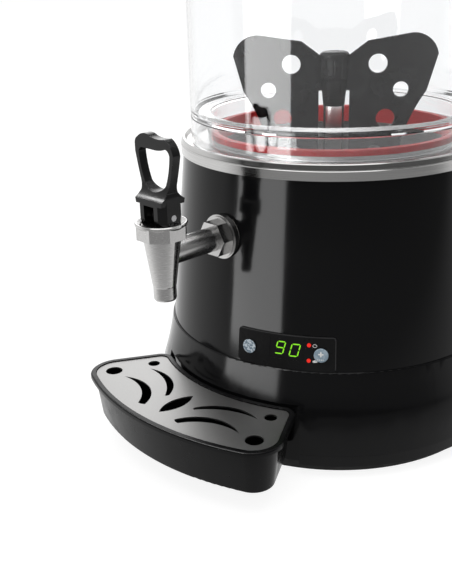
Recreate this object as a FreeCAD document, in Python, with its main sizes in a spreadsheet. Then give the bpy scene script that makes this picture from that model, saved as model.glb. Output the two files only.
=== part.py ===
import FreeCAD, Part
import itertools
import math
import os

import Sketcher
from FreeCAD import Placement, Rotation, Vector
from types import SimpleNamespace

# Hot chocolate dispenser: a heated steel tank in a tapered casing, a clear bowl on top of it, a driven
# stirrer, a tap at the front and a drip tray in a nest of the base. Millimetres and degrees. The origin lies
# on the casing's axis, on the surface that the foot ring stands on; the tap and the tray are at the front,
# towards -Y.

document = FreeCAD.newDocument("HotChocolateDispenser")
sheet = document.addObject("Spreadsheet::Sheet", "Sizes")
sheet_rows = itertools.count(1)
nodes = []


# ---- sizes ----

class Size:
    """A length, angle or count: its number, and the expression that works it out from the sheet."""

    def __init__(self, value, text):
        self.value = value
        self.text = text

    def joined(self, sign, other, value):
        return Size(value, "({} {} {})".format(self.text, sign, other.text))

    def __add__(self, other):
        other = sized(other)
        return self.joined("+", other, self.value + other.value)

    def __sub__(self, other):
        other = sized(other)
        return self.joined("-", other, self.value - other.value)

    def __mul__(self, other):
        other = sized(other)
        return self.joined("*", other, self.value * other.value)

    def __truediv__(self, other):
        other = sized(other)
        return self.joined("/", other, self.value / other.value)

    def __radd__(self, other):
        return sized(other) + self

    def __rsub__(self, other):
        return sized(other) - self

    def __rmul__(self, other):
        return sized(other) * self

    def __neg__(self):
        return Size(-self.value, "(0 - {})".format(self.text))


def sized(number):
    return number if isinstance(number, Size) else Size(number, repr(number))


def cosine(angle):
    return Size(math.cos(math.radians(angle.value)), "cos({})".format(angle.text))


def sine(angle):
    return Size(math.sin(math.radians(angle.value)), "sin({})".format(angle.text))


def arc_sine(ratio):
    return Size(math.degrees(math.asin(ratio.value)), "(asin({}) / 1 deg)".format(ratio.text))


def root(square):
    return Size(math.sqrt(square.value), "sqrt({})".format(square.text))


def on_sheet(group):
    """Writes one piece's driving sizes to the sheet, and returns them by name."""
    cells = {}
    for name, number in NUMBERS[group].items():
        row = str(next(sheet_rows))
        alias = group + "_" + name
        sheet.set("A" + row, alias.replace("_", " "))
        sheet.set("B" + row, str(number))
        sheet.setAlias("B" + row, alias)
        cells[name] = Size(number, "Sizes." + alias)
    return SimpleNamespace(**cells)


NUMBERS = {
    "gap": {"running": 0.05, "seat": 0.1, "moving": 0.3},
    "foot": {"height": 12.0, "inset": 13.3, "width": 13.4},
    "pan": {"thickness": 2.0, "rim_gap": 1.5, "vent_radius": 4.0, "vent_circle": 105.0, "vent_count": 16},
    "base": {"radius": 169.0, "top": 96.0, "lip_inset": 1.3, "step_level": 22.0, "step_depth": 0.8,
             "shoulder_level": 48.0, "shoulder_inset": 0.8, "top_inset": 11.7, "top_round": 1.2,
             "flare_radius": 300.0, "wall": 3.0, "ledge_thickness": 4.0, "ledge_width": 17.3,
             "floor_thickness": 3.0},
    "nest": {"depth": 7.0, "half_angle": 30.9, "top": 66.5, "cheek_angle": 2.5, "slot_height": 5.0},
    "casing": {"top_radius": 140.0, "height": 160.0, "inset": 1.7, "wall": 2.0, "flange": 2.0,
               "lower_flange": 12.6, "upper_flange": 6.0},
    "trim": {"overhang": 2.0, "band": 7.5, "groove_depth": 0.8, "groove_height": 1.2, "bead_top": 13.5,
             "bead_inset": 1.0, "bead_width": 2.7, "skirt_depth": 6.0, "skirt_wall": 2.0, "land_level": 10.3,
             "edge": 0.8, "lead": 2.0},
    "tank": {"depth": 86.0, "rise": 10.0, "wall": 1.2, "rim_gap": 1.0, "rim_width": 23.0, "corner": 7.0,
             "collar_height": 6.0},
    "gasket": {"height": 9.0, "roof": 3.0, "leg": 2.3, "inner_depth": 7.0, "outer_lift": 4.0},
    "bowl": {"height": 164.0, "inset": 1.0, "wall": 3.5, "shelf_rise": 22.0, "shelf_thickness": 4.0,
             "neck_wall": 3.0, "rim_width": 2.5, "rim_height": 6.0, "rim_slope": 1.5, "edge": 1.0,
             "groove_depth": 0.8, "groove_height": 3.0},
    "lid": {"overhang": 2.5, "wall": 2.5, "edge_height": 3.0, "crown": 14.0, "plug_depth": 7.0,
            "plug_wall": 2.4, "hub_radius": 16.0, "plug_gap": 0.8, "dome_radius": 600.0, "haunch": 1.0},
    "knob": {"foot_radius": 12.0, "neck_radius": 8.5, "head_radius": 20.0, "height": 24.0, "neck_level": 8.0,
             "head_level": 13.0, "edge": 3.0},
    "column": {"radius": 9.8, "bore": 8.0, "rise": 5.0, "flange_radius": 21.0, "flange": 3.0,
               "seal_radius": 15.0, "seal_height": 2.6},
    "shaft": {"radius": 5.0, "rise": 26.0, "drive_width": 8.0, "drive_length": 20.0, "bush_length": 10.0},
    "stirrer": {"hub_foot_radius": 9.8, "hub_radius": 13.5, "hub_rise": 48.0, "flare_rise": 37.0,
                "hub_round": 4.0, "flutes": 12, "flute_radius": 1.3, "plate": 5.0, "turn": 39.3,
                "slot_half_width": 14.0, "slot_rise": 14.0, "foot_drop": 103.0, "foot_reach": 58.0,
                "waist_drop": 31.0, "waist_reach": 62.0, "hip_rise": 13.0, "hip_reach": 83.0,
                "shoulder_rise": 45.0, "shoulder_reach": 92.0, "shoulder_radius": 22.0, "head_rise": 63.0,
                "head_width": 24.0, "head_drop": 6.0, "bridge": 16.5, "side_radius": 160.0,
                "hole_radius": 7.0, "arch_radius": 8.5},
    "motor": {"rise": 22.0, "plate_thickness": 3.0, "plate_radius": 78.0, "post_circle": 64.0,
              "post_radius": 5.0, "post_count": 4, "gearbox_radius": 33.0, "gearbox_height": 26.0,
              "can_radius": 22.0, "can_length": 48.0, "boss_radius": 10.0, "boss_height": 6.0,
              "screw_circle": 26.0, "screw_count": 4, "screw_depth": 6.0, "screw_play": 1.0,
              "coupling_depth": 12.0, "coupling_room": 2.0},
    "heater": {"plate_radius": 88.0, "plate_inner_radius": 24.0, "plate_thickness": 6.0, "coil_radius": 60.0,
               "tube_radius": 4.5, "thermostat_radius": 8.0, "thermostat_height": 10.0,
               "thermostat_reach": 42.0},
    "jacket": {"thickness": 12.0, "foot_gap": 6.0, "head_gap": 8.0, "tap_hole": 21.0},
    "tap": {"reach": 212.0, "shank_rise": 21.4, "shank_radius": 10.4, "shank_bore": 6.0, "shank_sink": 10.0,
            "spout_drop": 37.9, "spout_radius": 9.5, "spout_lip": 1.5, "spout_bore": 6.3, "cone_drop": 25.4,
            "cone_foot_radius": 9.8, "cone_top_radius": 15.5, "cone_step": 1.0, "bonnet_rise": 15.2,
            "neck_rise": 24.2, "seat_drop": 19.4, "seat_height": 2.0, "chamber_radius": 8.0},
    "bonnet": {"facet_radius": 21.1, "facets": 8, "rim_radius": 21.3, "rim_rise": 26.2, "rim_height": 2.0,
               "rim_bevel": 1.8, "rim_edge": 0.8, "dish_radius": 19.8, "cap_rise": 24.3,
               "cap_thickness": 1.8, "collar_radius": 15.0, "collar_thickness": 0.8},
    "stem": {"rod_radius": 2.2, "rod_sink": 1.5, "neck_radius": 3.2, "shoulder_rise": 5.1,
             "shoulder_radius": 6.0, "shoulder_thickness": 1.5, "eye_radius": 5.2, "eye_width": 9.6,
             "cup_height": 9.0, "cup_edge": 2.0, "plug_depth": 1.0, "spring_radius": 5.6,
             "spring_wire": 0.7, "spring_groove": 0.6, "spring_coils": 6},
    "lever": {"pin_rise": 33.3, "pin_radius": 2.5, "cam_radius": 6.3, "cam_lead": 5.8, "block_width": 32.0,
              "block_depth": 24.0, "block_chamfer": 5.3, "block_rise": 14.3, "root_depth": 4.0,
              "slot_width": 12.0, "slot_rise": 9.3, "slot_back": 5.8, "thickness": 7.5, "flare_rise": 27.3,
              "flare_radius": 14.4},
    "loop": {"waist_rise": 19.8, "waist_half_width": 15.2, "waist_radius": 12.0, "half_width": 22.7,
             "rise": 49.3, "side_radius": 300.0, "brow_side": 13.5, "brow_rise": 61.7, "brow_radius": 16.0,
             "dip_side": 3.0, "dip_rise": 62.3, "dip_radius": 36.0, "crown_side": 19.0, "crown_rise": 60.7,
             "crown_radius": 13.8, "corner_rise": 54.8, "corner_radius": 6.0},
    "grip": {"bottom_rise": 19.6, "foot_side": 12.5, "foot_rise": 25.6, "foot_radius": 16.0,
             "half_width": 18.4, "rise": 49.3, "side_radius": 68.0, "brow_side": 13.9, "brow_rise": 54.2,
             "corner_radius": 6.0, "dip_rise": 52.2, "dip_radius": 36.0, "peak_side": 15.0,
             "peak_rise": 52.7, "peak_radius": 5.0},
    "nut": {"flats": 27.5, "thickness": 8.5, "corner_reach": 19.25, "chamfer": 2.4, "washer_radius": 19.2,
            "washer_thickness": 2.8, "ring_radius": 18.0, "ring_thickness": 1.8, "seal_radius": 18.6,
            "seal_thickness": 0.8, "tank_seal": 1.5, "locknut_thickness": 4.5},
    "panel": {"start": 9.0, "finish": 41.5, "rise": 0.4, "height": 30.8, "thickness": 0.9, "corner": 4.0,
              "margin_angle": 2.0, "margin_height": 4.0},
    "display": {"start": 20.3, "finish": 31.2, "rise": 9.0, "height": 18.0, "sink": 0.15},
    "button": {"radius": 5.0, "set_angle": 13.3, "plus_angle": 36.7, "rise": 15.6, "proud": 1.5,
               "depth": 5.0},
    "lamp": {"radius": 1.7, "angle": 32.9, "upper_rise": 23.5, "lower_rise": 9.9, "proud": 1.2, "depth": 4.0},
    "board": {"inset": 15.6, "width": 66.0, "height": 26.0, "thickness": 1.6},
    "inlet": {"width": 50.0, "height": 32.0, "rise": 6.0, "proud": 2.4, "depth": 24.0, "socket_width": 27.0,
              "socket_height": 19.0, "socket_depth": 17.0, "socket_bevel": 5.0, "pin_width": 2.0,
              "pin_height": 6.0, "pin_length": 15.0, "pin_pitch": 7.0, "pin_drop": 1.5, "earth_rise": 2.5},
    "switch": {"angle": 27.0, "width": 26.0, "height": 32.0, "rise": 6.0, "proud": 2.4, "depth": 20.0,
               "rim": 2.5, "rocker_gap": 0.4, "swing_gap": 2.0, "tilt": 8.0, "axle_depth": 4.0,
               "axle_radius": 1.5, "rocker_depth": 9.0, "rocker_end": 2.0, "rocker_back": 1.2,
               "crest": 1.2},
    "vent": {"width": 3.0, "height": 26.0, "drop": 50.0, "angle": 48.0, "count": 9},
    "screw": {"shank_radius": 1.9, "head_radius": 3.8, "head_height": 2.6, "casing_inset": 8.1,
              "casing_count": 6, "casing_length": 9.5, "base_inset": 6.9, "base_count": 8,
              "base_length": 13.0, "well": 2.0},
    "tray": {"standoff": 2.3, "depth": 81.7, "angle_gap": 0.6, "headroom": 1.5, "height": 42.0, "wall": 2.4,
             "outer_corner": 26.5, "inner_corner": 13.0, "rim_height": 4.0, "rim_overhang": 4.2,
             "rim_width": 5.5, "ledge": 1.6, "draft": 4.5, "rebate": 2.4, "edge_round": 1.6,
             "foot_round": 1.2, "tongue_width": 18.0, "tongue_thickness": 4.0, "tongue_drop": 15.0,
             "tongue_length": 14.0, "tongue_place": 34.0},
    "grid": {"thickness": 1.5, "gap": 0.6, "big_hole_radius": 7.75, "big_hole_side": 91.5,
             "big_hole_reach": 39.7, "small_hole_radius": 5.5, "small_hole_side": 76.0,
             "small_hole_reach": 4.2, "lens_front": 61.9, "lens_back": 23.0, "lens_half_width": 7.1},
    "front_slot": {"heel_side": 19.5, "heel_reach": 61.3, "toe_side": 26.2, "toe_reach": 63.5,
                   "heel_radius": 7.0, "tip_side": 75.0, "tip_reach": 40.4, "hollow_radius": 47.0,
                   "crown_radius": 38.5},
    "back_slot": {"heel_side": 16.9, "heel_reach": 35.7, "toe_side": 18.8, "toe_reach": 39.4,
                  "heel_radius": 3.0, "tip_side": 70.0, "tip_reach": 13.7, "hollow_radius": 62.0,
                  "crown_radius": 42.2},
}

gap = on_sheet("gap")
foot = on_sheet("foot")
pan = on_sheet("pan")
base = on_sheet("base")
nest = on_sheet("nest")
casing = on_sheet("casing")
trim = on_sheet("trim")
tank = on_sheet("tank")
gasket = on_sheet("gasket")
bowl = on_sheet("bowl")
lid = on_sheet("lid")
knob = on_sheet("knob")
column = on_sheet("column")
shaft = on_sheet("shaft")
stirrer = on_sheet("stirrer")
motor = on_sheet("motor")
heater = on_sheet("heater")
jacket = on_sheet("jacket")
tap = on_sheet("tap")
bonnet = on_sheet("bonnet")
stem = on_sheet("stem")
lever = on_sheet("lever")
loop = on_sheet("loop")
grip = on_sheet("grip")
nut = on_sheet("nut")
panel = on_sheet("panel")
display = on_sheet("display")
button = on_sheet("button")
lamp = on_sheet("lamp")
board = on_sheet("board")
inlet = on_sheet("inlet")
switch = on_sheet("switch")
vent = on_sheet("vent")
screw = on_sheet("screw")
tray = on_sheet("tray")
grid = on_sheet("grid")
front_slot = on_sheet("front_slot")
back_slot = on_sheet("back_slot")

document.recompute()

base_lip = base.radius - base.lip_inset
base_shoulder = base.radius - base.shoulder_inset
base_crown = base.radius - base.top_inset
nest_radius = base.radius - nest.depth
foot_outer = base_lip - foot.inset
foot_inner = foot_outer - foot.width
base_screw_circle = foot_outer - screw.base_inset
casing_foot = base_crown - casing.inset
casing_top = base.top + casing.height
casing_slope = (casing_foot - casing.top_radius) / casing.height
casing_screw_circle = casing_foot - screw.casing_inset
casing_opening = casing.top_radius - casing.upper_flange
beyond_casing = casing_foot + 40
below_seam = base.top - 20
halfway = base.top + casing.height / 2
tank_rim = casing_opening - tank.rim_gap
tank_inner = tank_rim - tank.rim_width
tank_outer = tank_inner + tank.wall
tank_top = casing_top + tank.rise
tank_floor = tank_top - tank.depth
bowl_radius = tank_rim - bowl.inset
bowl_rim = bowl_radius + bowl.rim_width
shelf_level = tank_top + bowl.shelf_rise
bowl_top = shelf_level + bowl.height
column_foot = tank_floor - tank.wall
column_top = shelf_level + column.rise
shaft_top = column_top + shaft.rise
motor_level = base.top + motor.rise
shank_level = tank_floor + tap.shank_rise
seat_level = shank_level - tap.seat_drop
bonnet_foot = shank_level + tap.bonnet_rise
neck_top = shank_level + tap.neck_rise
cap_level = shank_level + bonnet.cap_rise
shoulder_level = shank_level + stem.shoulder_rise
pin_level = shank_level + lever.pin_rise
tray_inner = nest_radius + tray.standoff
tray_outer = tray_inner + tray.depth
tray_angle = nest.half_angle - tray.angle_gap
tray_top = nest.top - tray.headroom
tray_bottom = tray_top - tray.height
tongue_level = tray_top - tray.tongue_drop


def casing_radius(level):
    """The casing's outside radius at a level."""
    return casing_foot - (level - base.top) * casing_slope


# ---- sketches and features ----

def new_body(label):
    body = document.addObject("PartDesign::Body", label)
    body.Label = label
    body.AllowCompound = True
    nodes.append(body)
    return body


def move_to(body, x=None, y=None, z=None):
    for axis, place in (("x", x), ("y", y), ("z", z)):
        if place is not None:
            body.setExpression("Placement.Base." + axis, place.text)
    return body


def turn_to(body, angle):
    """Turns a body about the casing's axis."""
    body.Placement = Placement(Vector(), Rotation(Vector(0, 0, 1), angle.value))
    body.setExpression("Placement.Rotation.Angle", angle.text)
    return body


def origin_feature(body, role):
    return [feature for feature in body.Origin.OriginFeatures if feature.Role == role][0]


def new_sketch(body, plane, lift=None, turn=None):
    """A sketch on one of the body's own planes, lifted along its normal, or turned about its upright axis."""
    sketch = body.newObject("Sketcher::SketchObject", body.Label + "_sketch")
    sketch.AttachmentSupport = [(origin_feature(body, plane), "")]
    sketch.MapMode = "FlatFace"
    if turn is not None:
        sketch.AttachmentOffset = Placement(Vector(), Rotation(Vector(0, 1, 0), turn.value))
        sketch.setExpression("AttachmentOffset.Rotation.Angle", turn.text)
    if lift is not None:
        sketch.setExpression("AttachmentOffset.Base.z", sized(lift).text)
    return sketch


def hold(sketch, kind, places, size):
    """Adds a dimension to a sketch and ties it to the sheet."""
    index = sketch.addConstraint(Sketcher.Constraint(kind, *places, size.value))
    sketch.setExpression("Constraints[{}]".format(index), size.text)


def hold_point(sketch, geometry, spot, x, y):
    """Holds a point at x and y from the sketch's origin; a coordinate of plain 0 lies on the axis."""
    on_point = sketch.addConstraint
    if x.text == "0":
        on_point(Sketcher.Constraint("PointOnObject", geometry, spot, -2))
    else:
        hold(sketch, "DistanceX", (geometry, spot), x)
    if y.text == "0":
        on_point(Sketcher.Constraint("PointOnObject", geometry, spot, -1))
    else:
        hold(sketch, "DistanceY", (geometry, spot), y)


def arc_between(here, there, radius):
    """The shorter arc from here to there: left for a positive radius and right for a negative one."""
    chord = there - here
    left = Vector(-chord.y, chord.x, 0).normalize()
    rise = math.sqrt(max(radius * radius - chord.Length * chord.Length / 4, 0))
    centre = (here + there) / 2 + left * math.copysign(rise, radius)
    first, last = (here, there) if radius > 0 else (there, here)
    start = math.atan2(first.y - centre.y, first.x - centre.x)
    finish = math.atan2(last.y - centre.y, last.x - centre.x)
    if finish < start:
        finish += 2 * math.pi
    return Part.ArcOfCircle(Part.Circle(centre, Vector(0, 0, 1), abs(radius)), start, finish)


def draw(sketch, corners):
    """Closes an outline through corners (x, y). A third value makes the side that leaves the corner an arc of
    that radius: positive where it turns left, negative where it turns right."""
    corners = [[sized(value) for value in corner] for corner in corners]
    spots = [Vector(corner[0].value, corner[1].value, 0) for corner in corners]
    sides = []
    for corner, here, there in zip(corners, spots, spots[1:] + spots[:1]):
        if len(corner) == 3:
            geometry = sketch.addGeometry(arc_between(here, there, corner[2].value), False)
            sides.append((geometry, 1, 2) if corner[2].value > 0 else (geometry, 2, 1))
        else:
            geometry = sketch.addGeometry(Part.LineSegment(here, there), False)
            sides.append((geometry, 1, 2))
    for (side, start, finish), (following, next_start, _) in zip(sides, sides[1:] + sides[:1]):
        sketch.addConstraint(Sketcher.Constraint("Coincident", side, finish, following, next_start))
    for corner, (side, start, finish) in zip(corners, sides):
        hold_point(sketch, side, start, corner[0], corner[1])
        if len(corner) == 3:
            hold(sketch, "Radius", (side,), corner[2] if corner[2].value > 0 else -corner[2])
    return sketch


def draw_circle(sketch, x, y, radius):
    x, y, radius = sized(x), sized(y), sized(radius)
    circle = Part.Circle(Vector(x.value, y.value, 0), Vector(0, 0, 1), radius.value)
    geometry = sketch.addGeometry(circle, False)
    hold_point(sketch, geometry, 3, x, y)
    hold(sketch, "Radius", (geometry,), radius)
    return sketch


def draw_box(sketch, left, bottom, right, top):
    return draw(sketch, [(left, bottom), (right, bottom), (right, top), (left, top)])


def feature(body, kind, sketch, **properties):
    """A PartDesign feature of a sketch; a property that is a Size is tied to the sheet."""
    made = body.newObject("PartDesign::" + kind, body.Label + "_" + kind.lower())
    made.Profile = sketch
    for name, value in properties.items():
        if isinstance(value, Size):
            setattr(made, name, value.value)
            made.setExpression(name, value.text)
        else:
            setattr(made, name, value)
    return made


def spin(body, kind, sketch, angle=None):
    """Turns a sketch about the upright axis: all round, or evenly to both sides of the sketch."""
    made = feature(body, kind, sketch, ReferenceAxis=(sketch, ["V_Axis"]))
    if angle is None:
        made.Angle = 360
    else:
        made.Midplane = True
        made.Angle = angle.value
        made.setExpression("Angle", angle.text)
    return made


def turned(label, corners):
    """A body turned about its own upright axis, from its half section (radius, level)."""
    body = new_body(label)
    spin(body, "Revolution", draw(new_sketch(body, "XZ_Plane"), corners))
    return body


def bored(body, corners):
    """Turns a hollow out of a body, from the hollow's half section."""
    return spin(body, "Groove", draw(new_sketch(body, "XZ_Plane"), corners))


def tube(label, inner, outer, low, high):
    return turned(label, [(inner, low), (outer, low), (outer, high), (inner, high)])


def pad(body, sketch, length, back=False):
    return feature(body, "Pad", sketch, Length=length, Reversed=back)


def pad_both(body, sketch, length):
    return feature(body, "Pad", sketch, Length=length, SideType="Symmetric")


def cut(body, sketch, length, forward=False):
    """Cuts to a depth, against the sketch's normal or along it."""
    return feature(body, "Pocket", sketch, Length=length, Reversed=forward)


def cut_both(body, sketch, length):
    return feature(body, "Pocket", sketch, Length=length, SideType="Symmetric")


def around(body, features, count, angle=None):
    """Repeats features evenly about the upright axis, all round or over an angle."""
    pattern = body.newObject("PartDesign::PolarPattern", body.Label + "_pattern")
    pattern.Originals = features
    pattern.Axis = (origin_feature(body, "Z_Axis"), [""])
    pattern.Angle = 360 if angle is None else angle.value
    if angle is not None:
        pattern.setExpression("Angle", angle.text)
    pattern.Occurrences = int(count.value)
    pattern.setExpression("Occurrences", count.text)
    body.Tip = pattern
    return pattern


def round_edges(body, radius, chosen):
    """Rounds the edges of the body's tip that the test chooses."""
    document.recompute()
    before = body.Tip
    names = ["Edge{}".format(i) for i, edge in enumerate(before.Shape.Edges, 1) if chosen(edge)]
    fillet = body.newObject("PartDesign::Fillet", body.Label + "_fillet")
    fillet.Base = (before, names)
    fillet.Radius = radius.value
    fillet.setExpression("Radius", radius.text)
    return fillet


def level_of(edge, level):
    """Whether every end of an edge lies at a level."""
    return all(abs(vertex.Point.z - level) < 1e-4 for vertex in edge.Vertexes)


def trim_to_casing(body, proud):
    """Cuts a body off along the casing's taper, a little outside the casing's surface."""
    bored(body, [(casing_radius(below_seam) + proud, below_seam), (beyond_casing, below_seam),
                 (beyond_casing, halfway), (casing_radius(halfway) + proud, halfway)])


def screws(label, circle, count, head_bottom, length):
    """Pan-head screws standing head down on a circle."""
    body = new_body(label)
    head = new_sketch(body, "XY_Plane", lift=head_bottom)
    head = pad(body, draw_circle(head, circle, 0, screw.head_radius), screw.head_height)
    shank = new_sketch(body, "XY_Plane", lift=head_bottom + screw.head_height)
    shank = pad(body, draw_circle(shank, circle, 0, screw.shank_radius), length)
    around(body, [head, shank], count)
    return body


def drill(body, circle, count, level, depth, radius):
    """Drills a ring of upright holes upward from a level."""
    sketch = draw_circle(new_sketch(body, "XY_Plane", lift=level), circle, 0, radius)
    around(body, [cut(body, sketch, depth, forward=True)], count)


# ---- base: foot ring, pan, base ring with the tray's nest ----

def make_foot_ring():
    body = tube("foot_ring", foot_inner, foot_outer, 0, foot.height)
    well = foot.height - screw.head_height - screw.well
    drill(body, base_screw_circle, screw.base_count, 0, well + screw.head_height,
          screw.head_radius + gap.moving)
    drill(body, base_screw_circle, screw.base_count, 0, foot.height, screw.shank_radius + gap.seat)
    screws("base_screws", base_screw_circle, screw.base_count, well, screw.base_length)


def make_base_pan():
    radius = nest_radius - base.wall - pan.rim_gap
    top = foot.height + pan.thickness
    body = turned("base_pan", [(0, foot.height), (radius, foot.height), (radius, top), (0, top)])
    drill(body, base_screw_circle, screw.base_count, foot.height, pan.thickness,
          screw.shank_radius + gap.seat)
    drill(body, pan.vent_circle, pan.vent_count, foot.height, pan.thickness, pan.vent_radius)


def make_base_ring():
    floor_bottom = foot.height + pan.thickness
    floor_top = floor_bottom + base.floor_thickness
    ledge = base.top - base.ledge_thickness
    floor_inner = foot_inner
    body = turned("base_ring", [
        (base_lip - base.wall, foot.height),
        (base_lip, foot.height),
        (base.radius - base.step_depth, base.step_level),
        (base.radius, base.step_level + base.step_depth),
        (base_shoulder, base.shoulder_level, -base.flare_radius),
        (base_crown, base.top - base.top_round, base.top_round),
        (base_crown - base.top_round, base.top),
        (base_crown - base.ledge_width, base.top),
        (base_crown - base.ledge_width, ledge),
        (base_crown - base.wall, ledge, base.flare_radius + base.wall),
        (base_shoulder - base.wall, base.shoulder_level),
        (base.radius - base.wall - base.step_depth, floor_top),
        (floor_inner, floor_top),
        (floor_inner, floor_bottom),
        (base_lip - base.wall, floor_bottom)])
    wall_inner = nest_radius - base.wall
    cheeks = draw(new_sketch(body, "XZ_Plane", turn=Size(-90.0, "(0 - 90)")), [
        (wall_inner, foot.height),
        (base_lip - base.wall / 3, foot.height),
        (base_shoulder - base.wall / 3, base.shoulder_level),
        (nest_radius - base.wall / 3, nest.top + base.wall),
        (wall_inner, nest.top + base.wall)])
    spin(body, "Revolution", cheeks, (nest.half_angle + nest.cheek_angle) * 2)
    recess = draw_box(new_sketch(body, "XZ_Plane", turn=Size(-90.0, "(0 - 90)")),
                      nest_radius, foot.height - 1, beyond_casing, nest.top)
    spin(body, "Groove", recess, nest.half_angle * 2)
    slots = new_sketch(body, "XZ_Plane", lift=nest_radius - 20)
    half = tray.tongue_width / 2 + gap.moving
    middle = tongue_level + tray.tongue_thickness / 2
    low, high = middle - nest.slot_height / 2, middle + nest.slot_height / 2
    draw_box(slots, tray.tongue_place - half, low, tray.tongue_place + half, high)
    draw_box(slots, -tray.tongue_place - half, low, -tray.tongue_place + half, high)
    cut(body, slots, 30, forward=True)
    drill(body, base_screw_circle, screw.base_count, floor_bottom, base.floor_thickness,
          screw.shank_radius + gap.seat)
    drill(body, casing_screw_circle, screw.casing_count, ledge, base.ledge_thickness,
          screw.shank_radius + gap.seat)
    screws("casing_screws", casing_screw_circle, screw.casing_count, ledge - screw.head_height,
           screw.casing_length)


# ---- casing and trim ring ----

def make_casing():
    inner = casing_foot - casing.wall
    flange_top = base.top + casing.flange
    body = turned("casing", [
        (casing_foot - casing.lower_flange, base.top),
        (casing_foot, base.top),
        (casing.top_radius, casing_top),
        (casing_opening, casing_top),
        (casing_opening, casing_top - casing.flange),
        (casing_radius(casing_top - casing.flange) - casing.wall, casing_top - casing.flange),
        (casing_radius(flange_top) - casing.wall, flange_top),
        (casing_foot - casing.lower_flange, flange_top)])
    drill(body, casing_screw_circle, screw.casing_count, base.top, casing.flange,
          screw.shank_radius + gap.seat)
    tap_hole = draw_circle(new_sketch(body, "XZ_Plane", lift=inner - 40), 0, shank_level,
                           tap.shank_radius + gap.moving)
    cut(body, tap_hole, 60, forward=True)
    middle = (panel.start + panel.finish) / 2
    window = draw_box(new_sketch(body, "XZ_Plane", turn=middle - 90),
                      inner - 30, base.top + panel.rise + panel.margin_height,
                      casing_foot + 10, base.top + panel.rise + panel.height - panel.margin_height)
    spin(body, "Groove", window, panel.finish - panel.start - panel.margin_angle * 2)
    for turn, item in ((sized(180.0), inlet), (switch.angle + 180, switch)):
        hatch = new_sketch(body, "XZ_Plane", turn=turn)
        draw_box(hatch, -item.width / 2 - gap.seat, (base.top + item.rise) - gap.seat,
                 item.width / 2 + gap.seat, (base.top + item.rise) + item.height + gap.seat)
        cut(body, hatch, 200, forward=True)
    slit = new_sketch(body, "XZ_Plane", turn=sized(180.0) - vent.angle / 2)
    foot_level = casing_top - vent.drop
    draw_box(slit, -vent.width / 2, foot_level, vent.width / 2, foot_level + vent.height)
    around(body, [cut(body, slit, 200, forward=True)], vent.count, vent.angle)


def make_trim_ring():
    skirt = casing_opening - gap.moving
    seat = tank_top - tank.wall
    band_top = casing_top + trim.band
    bead_top = casing_top + trim.bead_top
    land = casing_top + trim.land_level
    outer = casing.top_radius + trim.overhang
    bead = outer - trim.bead_inset
    turned("trim_ring", [
        (skirt - trim.skirt_wall, casing_top - trim.skirt_depth),
        (skirt, casing_top - trim.skirt_depth),
        (skirt, casing_top),
        (outer, casing_top),
        (outer, band_top),
        (outer - trim.groove_depth, band_top + trim.groove_depth),
        (outer - trim.groove_depth, band_top + trim.groove_height),
        (bead + trim.edge, band_top + trim.groove_height + trim.edge),
        (bead, bead_top - trim.edge),
        (bead - trim.edge, bead_top),
        (bead - trim.bead_width, bead_top),
        (bead - trim.bead_width - trim.lead, land),
        (tank_rim + gap.seat, land),
        (tank_rim + gap.seat, seat),
        (skirt - trim.skirt_wall, seat)])


# ---- tank, column, bowl, lid ----

def make_inner_tank():
    corner = tank.corner
    hole = column.radius + gap.seat
    collar_top = tank_top + tank.collar_height
    body = turned("inner_tank", [
        (hole, tank_floor - tank.wall),
        (tank_outer - corner, tank_floor - tank.wall, corner),
        (tank_outer, tank_floor - tank.wall + corner),
        (tank_outer, tank_top - tank.wall),
        (tank_rim, tank_top - tank.wall),
        (tank_rim, tank_top),
        (tank_outer, tank_top),
        (tank_outer, collar_top),
        (tank_inner, collar_top),
        (tank_inner, tank_floor + corner - tank.wall, -(corner - tank.wall)),
        (tank_outer - corner, tank_floor),
        (hole, tank_floor)])
    outlet = draw_circle(new_sketch(body, "XZ_Plane", lift=tank_inner / 2), 0, shank_level,
                         tap.shank_radius + gap.seat)
    cut(body, outlet, tank_inner, forward=True)


def make_bowl_gasket():
    """A soft channel clipped over the tank's collar, with a longer leg inside than outside."""
    top = tank_top + gasket.height
    turned("bowl_gasket", [
        (tank_inner - gasket.leg, tank_top - gasket.inner_depth),
        (tank_inner, tank_top - gasket.inner_depth),
        (tank_inner, top - gasket.roof),
        (tank_outer, top - gasket.roof),
        (tank_outer, tank_top + gasket.outer_lift),
        (tank_outer + gasket.leg, tank_top + gasket.outer_lift),
        (tank_outer + gasket.leg, top),
        (tank_inner - gasket.leg, top)])


def make_bowl():
    foot_level = tank_top + gap.moving
    neck_inner = tank_outer + gasket.leg + gap.moving
    neck_outer = neck_inner + bowl.neck_wall
    inner = bowl_radius - bowl.wall
    shelf_top = shelf_level + bowl.shelf_thickness
    groove_foot = shelf_level + (bowl.shelf_thickness - bowl.groove_height) / 2
    rim_foot = bowl_top - bowl.rim_height
    turned("bowl", [
        (neck_inner, foot_level),
        (neck_outer, foot_level),
        (neck_outer, shelf_level),
        (inner, shelf_level),
        (inner, foot_level),
        (bowl_radius, foot_level),
        (bowl_radius, groove_foot - bowl.groove_depth),
        (bowl_radius - bowl.groove_depth, groove_foot),
        (bowl_radius - bowl.groove_depth, groove_foot + bowl.groove_height),
        (bowl_radius, groove_foot + bowl.groove_height + bowl.groove_depth),
        (bowl_radius, rim_foot),
        (bowl_rim, rim_foot + bowl.rim_slope),
        (bowl_rim, bowl_top - bowl.edge),
        (bowl_rim - bowl.edge, bowl_top),
        (inner + bowl.edge, bowl_top),
        (inner, bowl_top - bowl.edge),
        (inner, shelf_top + bowl.shelf_thickness),
        (inner - bowl.shelf_thickness, shelf_top),
        (neck_inner, shelf_top)])


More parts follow.
